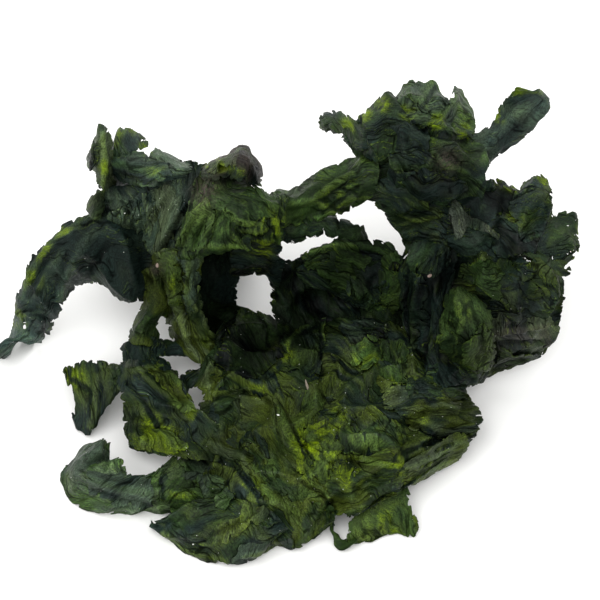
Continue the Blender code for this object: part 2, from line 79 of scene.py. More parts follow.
blades = {
    # left: an arm that arches down to the table, and an upright leaf at its shoulder
    "left_arm": blade([
        ((-38, 23, 34), (-35, 2, 22)), ((-46, 21.5, 38), (-41, 0, 19)), ((-53, 21, 39), (-46, 1.5, 20)),
        ((-60, 18.5, 36), (-51, 5.5, 23)), ((-66.5, 12.5, 29), (-57, 3, 18)),
        ((-69.5, 5, 20), (-60.5, -3, 12)), ((-71, -1.5, 13), (-62, -6.5, 7)),
        ((-71.5, -7, 7), (-65.5, -11, 3)), ((-73, -10, 4), (-70, -10, 3)),
        ((-75.5, -12.5, 1), (-73.5, -14, 1)),
    ], belly=5),
    "upright_leaf": blade([
        ((-53, 20.5, 39), (-49, 20, 40)), ((-53, 24, 42), (-48.5, 26, 43)),
        ((-51.5, 29, 45), (-47.5, 29, 46)), ((-52.5, 34, 50), (-47, 33, 50)),
        ((-51.5, 39.5, 55), (-47, 40, 55)), ((-50.2, 44.5, 59), (-49.2, 44.5, 59)),
    ], belly=4, ruffle=0.5, fold=0.3),
    # upper left: a grey-green shoulder, its rolled collar, and a curly lobe with a hooked lip
    "shoulder": blade([
        ((-48.5, 30, 42), (-49.5, 20.5, 37)), ((-43, 30, 45), (-45, 17.5, 34)),
        ((-37, 31, 48), (-40, 14.5, 31)), ((-31, 33, 50), (-35, 9.5, 29)),
        ((-25, 33.5, 51), (-30, 9.5, 31)), ((-18, 34, 50), (-25, 11, 34)),
    ], belly=5),
    "collar": blade([
        ((-47.5, 38, 49), (-46.8, 32.5, 49)), ((-42, 37.5, 52), (-42.5, 30, 52)),
        ((-36.5, 36.8, 54), (-37.5, 29, 54)), ((-32, 35, 54), (-33, 30.5, 54)),
        ((-26, 33.5, 53), (-28, 31, 53)),
    ], belly=3, ruffle=0.8, fold=0.5),
    "tuft": blade([
        ((-47, 35, 50), (-47, 37.5, 50)), ((-44, 34, 51), (-45.5, 42.5, 54)),
        ((-41, 34, 51), (-42.5, 42.5, 55)), ((-38, 34, 51), (-39.5, 40.5, 54)),
        ((-36.5, 36, 51), (-37, 39, 52)),
    ], belly=2, ruffle=0.8, fold=0.4),
    "curly_lobe": blade([
        ((-24, 32, 51), (-32, 8.5, 34)), ((-18, 31, 52), (-24, 11, 38)), ((-12, 29, 49), (-16, 12, 38)),
        ((-7, 26.5, 45), (-10, 11, 35)), ((-3, 27, 42), (-5, 13, 33)),
    ], belly=6, fold=1.6),
    "hooked_lip": blade([
        ((-24, 33, 51), (-22, 28.5, 51)), ((-18.5, 35, 54), (-18, 30, 54)),
        ((-15.3, 37.3, 57), (-15.5, 30.5, 57)), ((-12.8, 36.5, 57), (-14, 30, 57)),
        ((-10.8, 33, 54), (-13, 29.5, 55)), ((-10, 29.5, 50), (-12, 28.5, 52)),
    ], belly=3, ruffle=0.4, fold=0.4),
    # from the curly lobe down: a wrinkled pillar, and the shaded wall behind it
    "pillar": blade([
        ((-36, 11, 34), (-24, 13, 37)), ((-34.5, 5, 28), (-25, 7, 31)), ((-32.5, -1, 21), (-25, 0.5, 23)),
        ((-31.5, -7, 14), (-23, -6, 15)), ((-30, -12.5, 9), (-21.5, -11, 9)),
        ((-26.5, -16, 6), (-22, -16, 6)),
    ], belly=4, ruffle=0.8),
    "cave_wall": blade([
        ((-27, 15, 35), (-14, 14, 34)), ((-27, 6, 25), (-16, 5.5, 25)), ((-26.5, -1, 15), (-16, -2, 14)),
        ((-25.5, -7, 8), (-17, -5, 9)), ((-24.5, -13, 5), (-20, -10, 5)),
    ], belly=-3, ruffle=0.5, fold=0.8),
    "cave_lip": blade([
        ((-17, 15, 44), (-17, 11, 36), (-17, 5.5, 27)), ((-12, 15, 44), (-12, 11, 36), (-12.5, 6.5, 27)),
        ((-7.5, 14, 41), (-8, 10.5, 34), (-8.5, 6, 26)), ((-3, 14, 39), (-4, 8.5, 28), (-5.5, 2, 20)),
    ], belly=2, ruffle=0.5, fold=0.5),
    # two bridges from the left lobes to the right ones
    "upper_bridge": blade([
        ((-8, 26.5, 43), (-6, 18, 36)), ((-2.5, 28, 41), (-1, 19, 35)), ((2.8, 31.3, 42), (4, 20.5, 36)),
        ((8.8, 33.3, 44), (9, 21.8, 37)), ((14, 36, 46), (14, 23.8, 39)), ((20, 38, 48), (19, 26, 42)),
    ], belly=5, fold=1.3),
    "lower_bridge": blade([
        ((-15, 16, 46), (-13, 12.5, 42)), ((-10, 19, 38), (-9, 12, 33)), ((-3, 22.5, 34), (-2, 14.5, 29)),
        ((2.5, 22, 33), (3, 15.5, 29)), ((7, 21.5, 32), (5.5, 16.5, 29)), ((11, 20, 30), (9, 14.5, 25)),
        ((15, 19, 27), (12.5, 11, 20)), ((17.3, 15, 22), (16, 7, 15)),
    ], belly=3, ruffle=0.8, fold=0.8),
    # the middle: a flap under the bridges and the dark valley floor
    "middle_flap": blade([
        ((-1.5, 9.5, 22), (0, 5, 16)), ((0.8, 11.8, 24), (4, 3, 15)), ((4, 13, 26), (8, 2, 14)),
        ((9, 14.5, 27), (13, -1, 12)), ((17, 15, 26), (19, -3, 11)), ((23, 14, 24), (24, -3, 11)),
        ((26, 10, 21), (28, -2, 11)),
    ], belly=3, ruffle=1.2),
    "valley": blade([
        ((-5.5, 9.5, 27), (7.5, 10, 23), (25, 9.5, 24)), ((-5.5, 2.5, 18), (7.5, 2.5, 12), (26, 2.5, 16)),
        ((-4.5, -4.5, 10), (8.8, -6, 6), (27, -6, 9)), ((-4, -12, 5), (10, -13, 4), (27, -13, 6)),
    ], belly=0, ruffle=1, fold=1.3),
    # the broad front sheet, and the leaves and lobes along its edge
    "broad_sheet": blade([
        ((-25, -16.5, 7), (-16, -2, 7), (-4, -5.5, 8), (11, -4.5, 8), (25, -6.5, 12), (35, -12, 12)),
        ((-26, -23, 8), (-15, -15, 12), (-2.5, -16, 14), (11, -16, 12), (25, -16, 14), (39, -18, 13)),
        ((-24.5, -30, 8), (-14, -27.5, 13), (-2, -29, 17), (11, -27.5, 14), (25, -26, 16), (43, -25, 11)),
        ((-27.5, -39, 8), (-15, -40, 12), (-2, -40, 14), (11, -39, 15), (25, -36.5, 13), (45.5, -32, 7)),
        ((-28.5, -48, 5), (-15, -50, 7), (-2.5, -51, 9), (10, -49, 9), (21, -46, 10), (36, -40, 7)),
        ((-24, -56, 2), (-14, -59, 2), (-2, -62, 1), (7, -56.5, 3), (16, -52, 5), (26.5, -46, 5)),
    ], belly=2, ruffle=1.8, fold=1.7),
    "olive_strip": blade([
        ((24, -42, 13.5), (26.5, -46.8, 5)), ((31, -38, 13.5), (31.5, -44.5, 3)),
        ((37.5, -34, 12.5), (38, -41, 3)), ((42.5, -33, 10.5), (41.5, -38.5, 5)),
    ], belly=2, ruffle=0.6, fold=0.4),
    "bottom_flag": blade([
        ((12.8, -52, 6), (11.5, -61.5, 0.5)), ((18, -50, 8), (17, -61, 0)),
        ((22.5, -47.5, 8), (23, -59, 0)), ((26.5, -46.5, 6), (27.5, -59.5, 1)),
        ((27.5, -52, 3), (30.5, -57, 1.5)),
    ], belly=1.5, ruffle=0.5, fold=0.5),
    "flag_strand": blade([
        ((6.5, -51, 11), (8.5, -51, 11)), ((6.8, -54, 4), (8.5, -54, 4)),
        ((7.8, -58, 2), (9.4, -57.5, 2)), ((9.5, -62.3, 1), (12, -60, 1)),
        ((13.5, -61.8, 3), (15.5, -59, 4)),
    ], belly=0.3, ruffle=0.1, fold=0.1),
    "bottom_lobe": blade([
        ((-32, -53.5, 4), (-36.3, -57, 1)), ((-27, -50, 7), (-33, -60.5, 0)),
        ((-21, -49, 8), (-27, -64.5, 0)), ((-14, -48, 9), (-18, -66.3, 0)), ((-7, -49, 8), (-11, -65, 0)),
        ((-1, -51, 7), (-3.5, -61.5, 0)),
    ], belly=4, ruffle=1, fold=1.3),
    # lower left: a curved arm, a folded leaf with a twisted flag, and the curl above it
    "lower_left_arm": blade([
        ((-50.5, -35.5, 12), (-48, -35, 13)), ((-53.8, -37.3, 9), (-48.8, -38.5, 12)),
        ((-57, -41.5, 4), (-48.5, -40.8, 11)), ((-59, -45, 1), (-45.5, -39.5, 12)),
        ((-57, -50, 0), (-43.8, -42.8, 11)), ((-52.5, -52.5, 0), (-41, -44, 10)),
        ((-43, -53.5, 0), (-36.5, -43.3, 9)), ((-35, -53.5, 1), (-31.5, -39.5, 8)),
        ((-28, -54, 2), (-24, -39, 8)), ((-20, -55, 4), (-14, -43, 10)),
    ], belly=4, fold=1.2),
    "folded_leaf": blade([
        ((-44.3, -16, 14), (-34, -14.5, 14)), ((-44.3, -21, 13), (-30, -19.5, 13)),
        ((-44, -26, 11), (-26.3, -26, 13)), ((-43.5, -32.5, 7), (-20, -32, 12)),
        ((-42.5, -37.5, 3), (-17, -40, 10)),
    ], belly=4, ruffle=0.8),
    "twisted_flag": blade([
        ((-42, -16.5, 14), (-42, -21, 13)), ((-46, -17.8, 13), (-46, -23, 11)),
        ((-50, -16, 11), (-49.5, -28.5, 6)), ((-54, -15.5, 9), (-52.8, -33.8, 1.5)),
        ((-57, -16.5, 7), (-56.8, -30, 1)), ((-59.5, -17, 6), (-57.8, -20, 6)),
    ], belly=1.5, ruffle=0.8, fold=0.4),
    "side_curl": blade([
        ((-41, 8, 28), (-31, 9, 30)), ((-38.5, 1, 22), (-32, 1, 22)),
        ((-40, -3.5, 18), (-34.5, -3.5, 18)), ((-41.5, -7.5, 15), (-36.8, -7, 16)),
        ((-43.5, -10.5, 13), (-36.5, -11.5, 14)),
    ], belly=2.5, ruffle=0.4, fold=0.5),
    "dark_fold": blade([
        ((-43.5, -10, 12), (-34, -8.8, 13)), ((-44.5, -12.5, 12), (-34, -12, 13)),
        ((-44.3, -17, 13), (-33.8, -15, 13)), ((-43.5, -21, 13), (-31.5, -19, 13)),
    ], belly=3, ruffle=0.5, fold=0.7),
    "link": blade([
        ((-36, -9.8, 13), (-36, -14.3, 11)), ((-30.5, -10, 10), (-30, -14, 8)),
        ((-24, -9, 9), (-24, -15, 7)),
    ], belly=1, ruffle=0.2, fold=0.2),
    "dark_lobe": blade([
        ((-31, -19.8, 12), (-29, -23, 11)), ((-28, -18, 9), (-27.3, -22.5, 8)),
        ((-23, -16, 8), (-24, -21.5, 8)),
    ], belly=1, ruffle=0.2, fold=0.2),
    # right: a column of long folds, the broad right blade and the bright leaf in front of it
    "column": blade([
        ((26, 15, 29), (40, 17, 38)), ((25, 6, 22), (38.5, 8, 31)), ((25.5, -4, 15), (37.5, -2, 24)),
        ((28, -13, 13), (38, -11, 18)), ((31, -23, 13), (43, -20, 11)),
    ], belly=4, fold=1.2),
    "right_blade": blade([
        ((36, 12, 31), (36, -1, 18), (40, -20.5, 5)), ((41.5, 12.5, 37), (43, -1, 26), (44, -20.5, 6)),
        ((47, 13, 38), (49, -2, 30), (48, -18.5, 4)), ((55, 12.5, 37), (57, -2, 28), (54.5, -16, 4)),
        ((62, 11, 34), (63, -1, 25), (60.5, -13.3, 6)), ((68.5, 8.8, 31), (66, 1, 23), (65, -6, 12)),
    ], belly=2, ruffle=1.6, fold=1.5),
    "bright_leaf": blade([
        ((37, 3, 33), (42, 3, 34)), ((36, -3, 30), (47, -3, 33)), ((34.5, -10, 24), (48.5, -10, 27)),
        ((37, -15, 17), (48, -15.5, 17)), ((39.5, -19, 10), (46, -18.8, 8)),
    ], belly=4, ruffle=0.8, fold=0.7),
    "frill": blade([
        ((32, -15, 16), (31, -22, 13)), ((40.5, -15.5, 15), (40.5, -22, 10)),
        ((47.5, -16.5, 11), (46.3, -20, 6)),
    ], belly=2.5, ruffle=0.8, fold=0.6),
    # upper right: a neck that widens into a crumpled crown, with a tongue each side
    "neck": blade([
        ((14, 37.5, 46), (38, 41, 55)), ((15.5, 31, 44), (39.5, 33, 51)), ((17.3, 25, 40), (40, 25, 45)),
        ((21.7, 21, 36), (40, 20, 41)), ((25.5, 15, 30), (39, 14, 36)), ((28, 11, 26), (38, 9, 32)),
    ], belly=5, fold=1.3),
    "crown_left": blade([
        ((10, 41, 44), (13, 37, 43)), ((14.5, 45.5, 51), (15.5, 35, 47)),
        ((17.5, 48, 56), (19.5, 35, 51)), ((21.5, 52, 59), (24, 36, 54)),
        ((25.5, 50.5, 59), (29, 37, 56)),
    ], belly=4, ruffle=0.8),
    "crown_top": blade([
        ((24.5, 50.3, 59), (25, 42, 57)), ((28, 53.5, 60), (29, 41, 59)),
        ((31.3, 53.3, 60), (32.5, 40.5, 60)), ((34, 54.5, 60), (35, 40, 60)),
        ((36.8, 49.5, 58), (37.5, 40, 58)), ((38.8, 52.3, 57), (39.5, 40.5, 57)),
        ((41.8, 49.3, 53), (42.5, 41, 54)), ((43, 46, 50), (43.5, 41.5, 52)),
    ], belly=3, ruffle=0.8),
    "left_tongue": blade([
        ((4.5, 46, 42), (4.3, 43.5, 41)), ((7, 47, 45), (7, 42.5, 44)),
        ((10.5, 46.8, 48), (10.5, 41, 46)), ((14.5, 44.3, 51), (12.8, 38.5, 48)),
        ((19, 43, 54), (17, 36.5, 51)),
    ], belly=2, ruffle=0.4, fold=0.4),
    "crown_front": blade([
        ((22, 44, 58), (22, 29, 47)), ((29, 44, 61), (29.5, 24.5, 46)), ((36, 43, 61), (37, 24, 46)),
        ((42, 41, 57), (44, 23, 44)), ((46, 38, 51), (49, 24, 42)),
    ], belly=5, ruffle=1.3, fold=1.5),
    "right_arm": blade([
        ((37, 40, 52), (38, 30, 45)), ((44, 41.5, 51), (45, 32.8, 45)), ((48, 43.5, 51), (50, 36.5, 46)),
        ((50.5, 48, 53), (56, 41, 48)), ((52.5, 51, 56), (61.3, 46.5, 51)),
        ((54.5, 53, 59), (62.3, 49.5, 54)), ((57.5, 52, 59), (60.5, 52.3, 57)),
    ], belly=2, ruffle=0.6, fold=0.5),
    "right_crest": blade([
        ((36, 31, 48), (38, 14, 39)), ((45, 31, 47), (46.5, 12, 37)), ((50, 30, 45), (51, 11, 36)),
        ((54.5, 28, 43), (55.5, 10.5, 35)), ((59.5, 31, 44), (59, 12, 35)),
        ((62.5, 29.5, 43), (61.5, 18, 38)),
    ], belly=5, ruffle=1.5),
    "right_ruffle": blade([
        ((53, 20, 39), (52, 11, 34)), ((59, 20.5, 38), (58, 10.5, 32)), ((64, 21.8, 36), (63, 9.5, 30)),
        ((68.8, 21, 34), (67, 10, 29)), ((69.5, 16, 31), (69.7, 12, 29)),
    ], belly=2.5, ruffle=1.2),
    # the back, out of the front's sight: two curtains that come down to the table and a low sheet
    "left_back": blade([
        ((-45, 29, 41), (-47, 24, 22), (-44, 15, 1)), ((-37, 31, 46), (-38, 20, 24), (-37, 9, 0)),
        ((-29, 31, 47), (-28, 25, 25), (-27, 16, 0)), ((-20, 30, 47), (-20, 21, 23), (-20, 10, 0)),
        ((-11, 27, 42), (-12, 22, 22), (-13, 14, 1)),
    ], belly=-3, ruffle=1.5, fold=1.5),
    "right_back": blade([
        ((24, 43, 56), (27, 32, 30), (30, 17, 1)), ((31, 43, 58), (34, 26, 30), (37, 12, 0)),
        ((38, 40, 57), (41, 30, 30), (43, 19, 0)), ((45, 30, 46), (48, 22, 24), (50, 12, 0)),
        ((53, 27, 42), (56, 23, 22), (58, 15, 1)),
    ], belly=-3, ruffle=1.5, fold=1.5),
    "rear_sheet": blade([
        ((-3, 8, 2), (-3, -2, 3), (-3, -11, 9)), ((8, 9, 8), (8, -3, 1), (8, -12, 8)),
        ((20, 7, 2), (20, -4, 5), (20, -12, 9)), ((30, 10, 6), (30, -3, 2), (30, -12, 10)),
    ], belly=0, ruffle=1, fold=1.2),
}

toneColours = {
    # ink, the near-black of the deepest hollows, is painted shade
    "ink": "#060c0a",
    "slate": "#17231f",
    "ash": "#2d3a2d",
    "stone": "#3f4a34",
    "moss": "#1a2814",
    "fern": "#283b1a",
    "leaf": "#3b4d22",
    "olive": "#3b4718",
    "lime": "#748a03",
    "umber": "#37302b",
    "pale": "#454c41",
    "through": "#8fb80a",
}

# how each blade is creased and coloured:
# flow, warp: the heading of its creases in degrees, and how far they bend from it
# crumple, creases: how deep they are, and how many
# tear, layers: how far its rims are torn, and how many scraps are torn onto it
# cell: how fine its mesh is
# tones, olive: its two colours and a third that comes through in patches, and how strongly
# light, bright: how light it is, lowered as painted shade on blades that lie in caves and hollows, and how
# yellow-green
# patches: 0 where none of the drawn patches of colour and shade fall on it
# margin, grow: how far its torn rim may reach past the outline, and the places (across, up,
#   radius, more) where it does
# gap, curl: how far the layers drawn on it lie off, and how far their rims curl
bladeLooks = {
    "usual": {
        "flow": 0, "crumple": 1.0, "creases": 1.0, "tear": 0.8, "layers": 0.6, "cell": 0.37, "warp": 3.6,
        "tones": ("slate", "moss", "fern"), "olive": 0.4, "light": 1.0, "bright": 0.04, "margin": 1.2,
        "grow": [], "gap": 0.4, "curl": 0.7, "patches": 1,
    },
    "left_arm": {
        "flow": 0, "crumple": 0.35, "layers": 0.2, "tones": ("slate", "slate", "ash"), "margin": 2.6,
        "grow": [(-72.5, -13, 5, 2.2), (-48, 2.5, 5, 2.0)],
    },
    "upright_leaf": {
        "flow": 0, "crumple": 0.4, "layers": 0, "tones": ("ash", "stone", "leaf"), "bright": 0.12,
        "margin": 2.4, "grow": [(-51.25, 34.25, 5, 1.6), (-49.75, 28.5, 3, 2.0)],
    },
    "shoulder": {
        "flow": 80, "crumple": 0.42, "layers": 0.4, "tones": ("ash", "slate", "stone"), "margin": 2.8,
        "grow": [(-45.5, 30, 7, 2.8), (-31.5, 34.5, 7, 2.0)],
    },
    "collar": {
        "flow": 10, "crumple": 0.14, "layers": 0.1, "tones": ("slate", "ash", "fern"), "margin": 2.8,
        "grow": [(-46.5, 32, 5, 2.6), (-36.5, 35.5, 6, 1.8)],
    },
    "tuft": {"flow": 90, "crumple": 0.5, "layers": 0, "tones": ("moss", "slate", "fern"), "bright": 0.06},
    "curly_lobe": {
        "flow": 60, "crumple": 1.1, "tones": ("fern", "moss", "leaf"), "bright": 0.07, "creases": 1.8,
        "margin": 2.8, "grow": [(-18, 30.5, 7, 2.6), (-22.5, 28.5, 5, 2.0)],
    },
    "hooked_lip": {
        "flow": 0, "crumple": 0.4, "layers": 0, "tones": ("ash", "umber", "stone"), "light": 0.7,
        "margin": 2.8, "grow": [(-21.5, 34.25, 7, 2.0), (-14.25, 36.25, 6, 1.8), (-11, 33, 4, 1.8)],
    },
    "pillar": {
        "flow": 0, "crumple": 0.8, "tones": ("olive", "moss", "stone"), "olive": 0.7, "bright": 0.12,
        "margin": 2.6, "grow": [(-31.5, -6.25, 5, 1.8), (-35.5, 9.5, 4, 2.4)],
    },
    # the cave wall, cave lip and valley have low light: painted shade for the caves they lie in
    "cave_wall": {
        "cell": 0.5, "crumple": 0.5, "light": 0.35, "tones": ("slate", "moss", "moss"), "margin": 3.0,
        "grow": [(-25, 0, 9, 2.0)],
    },
    "cave_lip": {"crumple": 0.5, "layers": 0.4, "light": 0.55, "tones": ("slate", "ink", "moss")},
    "upper_bridge": {"tones": ("fern", "moss", "leaf"), "bright": 0.06},
    "lower_bridge": {"tones": ("moss", "slate", "fern"), "light": 0.9},
    "middle_flap": {"crumple": 0.7, "tones": ("moss", "slate", "fern")},
    "valley": {
        "cell": 0.5, "tones": ("ink", "moss", "slate"), "light": 0.8, "margin": 3.0,
        "grow": [(-5.25, 0, 7, 2.6)],
    },
    "broad_sheet": {
        "flow": 50, "crumple": 0.9, "layers": 0.9, "tones": ("moss", "slate", "olive"), "olive": 0.6,
    },
    "flag_strand": {"crumple": 0.2, "layers": 0, "tear": 0.4, "tones": ("moss", "fern", "fern")},
    "link": {"crumple": 0.3, "layers": 0, "tear": 0.3},
    "dark_lobe": {"crumple": 0.4, "layers": 0, "tones": ("slate", "ink", "moss")},
    "dark_fold": {"crumple": 0.8, "tones": ("slate", "ink", "moss")},
    "folded_leaf": {
        "margin": 2.6, "grow": [(-44.75, -18.5, 4, 2.4)], "flow": 10, "crumple": 0.3, "layers": 0.3,
        "tones": ("moss", "slate", "olive"),
    },
    "twisted_flag": {
        "flow": 90, "crumple": 0.4, "layers": 0.2, "tones": ("slate", "moss", "olive"), "margin": 2.8,
        "grow": [(-46, -18.75, 4, 2.6)],
    },
    "side_curl": {
        "flow": 0, "crumple": 0.5, "layers": 0.2, "tones": ("olive", "moss", "fern"), "margin": 2.4,
        "grow": [(-35, -6.25, 6, 1.8)],
    },
    "bottom_flag": {
        "flow": 80, "crumple": 0.22, "layers": 0.2, "tones": ("leaf", "fern", "olive"), "olive": 0.5,
        "creases": 0.6,
    },
    "bottom_lobe": {
        "flow": 20, "crumple": 0.6, "tones": ("slate", "moss", "olive"), "margin": 2.4,
        "grow": [(-32, -60.75, 6, 2.0), (-34.5, -56.5, 4, 2.2), (-6.25, -63, 7, 2.4)],
    },
    "lower_left_arm": {
        "flow": 10, "crumple": 0.9, "tones": ("ash", "fern", "stone"), "margin": 2.4, "creases": 1.4,
        "grow": [(-50.5, -37, 5, 1.6), (-57.25, -41, 6, 1.8)],
    },
    "column": {"flow": 0, "crumple": 0.6, "tones": ("slate", "ink", "moss"), "layers": 0.3},
    "right_arm": {
        "flow": 0, "crumple": 0.16, "layers": 0.1, "tones": ("slate", "ash", "ash"), "tear": 0.5,
        "creases": 0.6, "margin": 2.4, "grow": [(49.75, 46, 6, 0.7), (60.75, 52, 3, 1.5)],
    },
    "right_crest": {
        "crumple": 0.5, "tones": ("slate", "ink", "moss"), "layers": 0.4, "margin": 2.4,
        "grow": [(40.5, 13.5, 5, 3.0)],
    },
    "right_ruffle": {"crumple": 0.9, "tones": ("slate", "moss", "leaf"), "tear": 1.6, "bright": 0.08},
    "right_blade": {
        "crumple": 0.6, "tones": ("slate", "moss", "olive"), "margin": 2.4, "grow": [(41, 12.5, 4, 3.0)],
    },
    "bright_leaf": {
        "flow": 0, "crumple": 0.25, "layers": 0.1, "tones": ("fern", "moss", "leaf"), "olive": 0.5,
        "bright": 0.03,
    },
    "frill": {"tones": ("moss", "slate", "fern")},
    "neck": {"flow": 90, "crumple": 0.7, "tones": ("slate", "moss", "olive")},
    "crown_left": {"tones": ("moss", "slate", "fern"), "crumple": 0.6, "bright": 0.02},
    "crown_top": {
        "tones": ("ash", "fern", "leaf"), "crumple": 0.4, "layers": 0.2, "margin": 2.6,
        "grow": [(27.5, 52.5, 6, 1.6), (39.75, 51.25, 3, 2.2), (22.5, 52, 5, 1.6)],
    },
    "crown_front": {"tones": ("slate", "moss", "fern"), "crumple": 0.7},
    "left_tongue": {"tones": ("slate", "moss", "fern"), "crumple": 0.5},
    "olive_strip": {
        "tones": ("stone", "olive", "leaf"), "crumple": 0.15, "layers": 0, "flow": 0, "tear": 0.5,
    },
    "left_back": {
        "cell": 0.74, "crumple": 1.7, "light": 0.8, "tear": 2.6, "layers": 1.5, "bright": 0, "patches": 0,
        "tones": ("slate", "moss", "fern"),
    },
    "right_back": {
        "cell": 0.74, "crumple": 1.7, "light": 0.8, "tear": 2.6, "layers": 1.5, "bright": 0, "patches": 0,
        "tones": ("slate", "moss", "olive"),
    },
    "rear_sheet": {"cell": 0.8, "creases": 0.5, "light": 0.7, "tear": 1.3, "patches": 0},
}

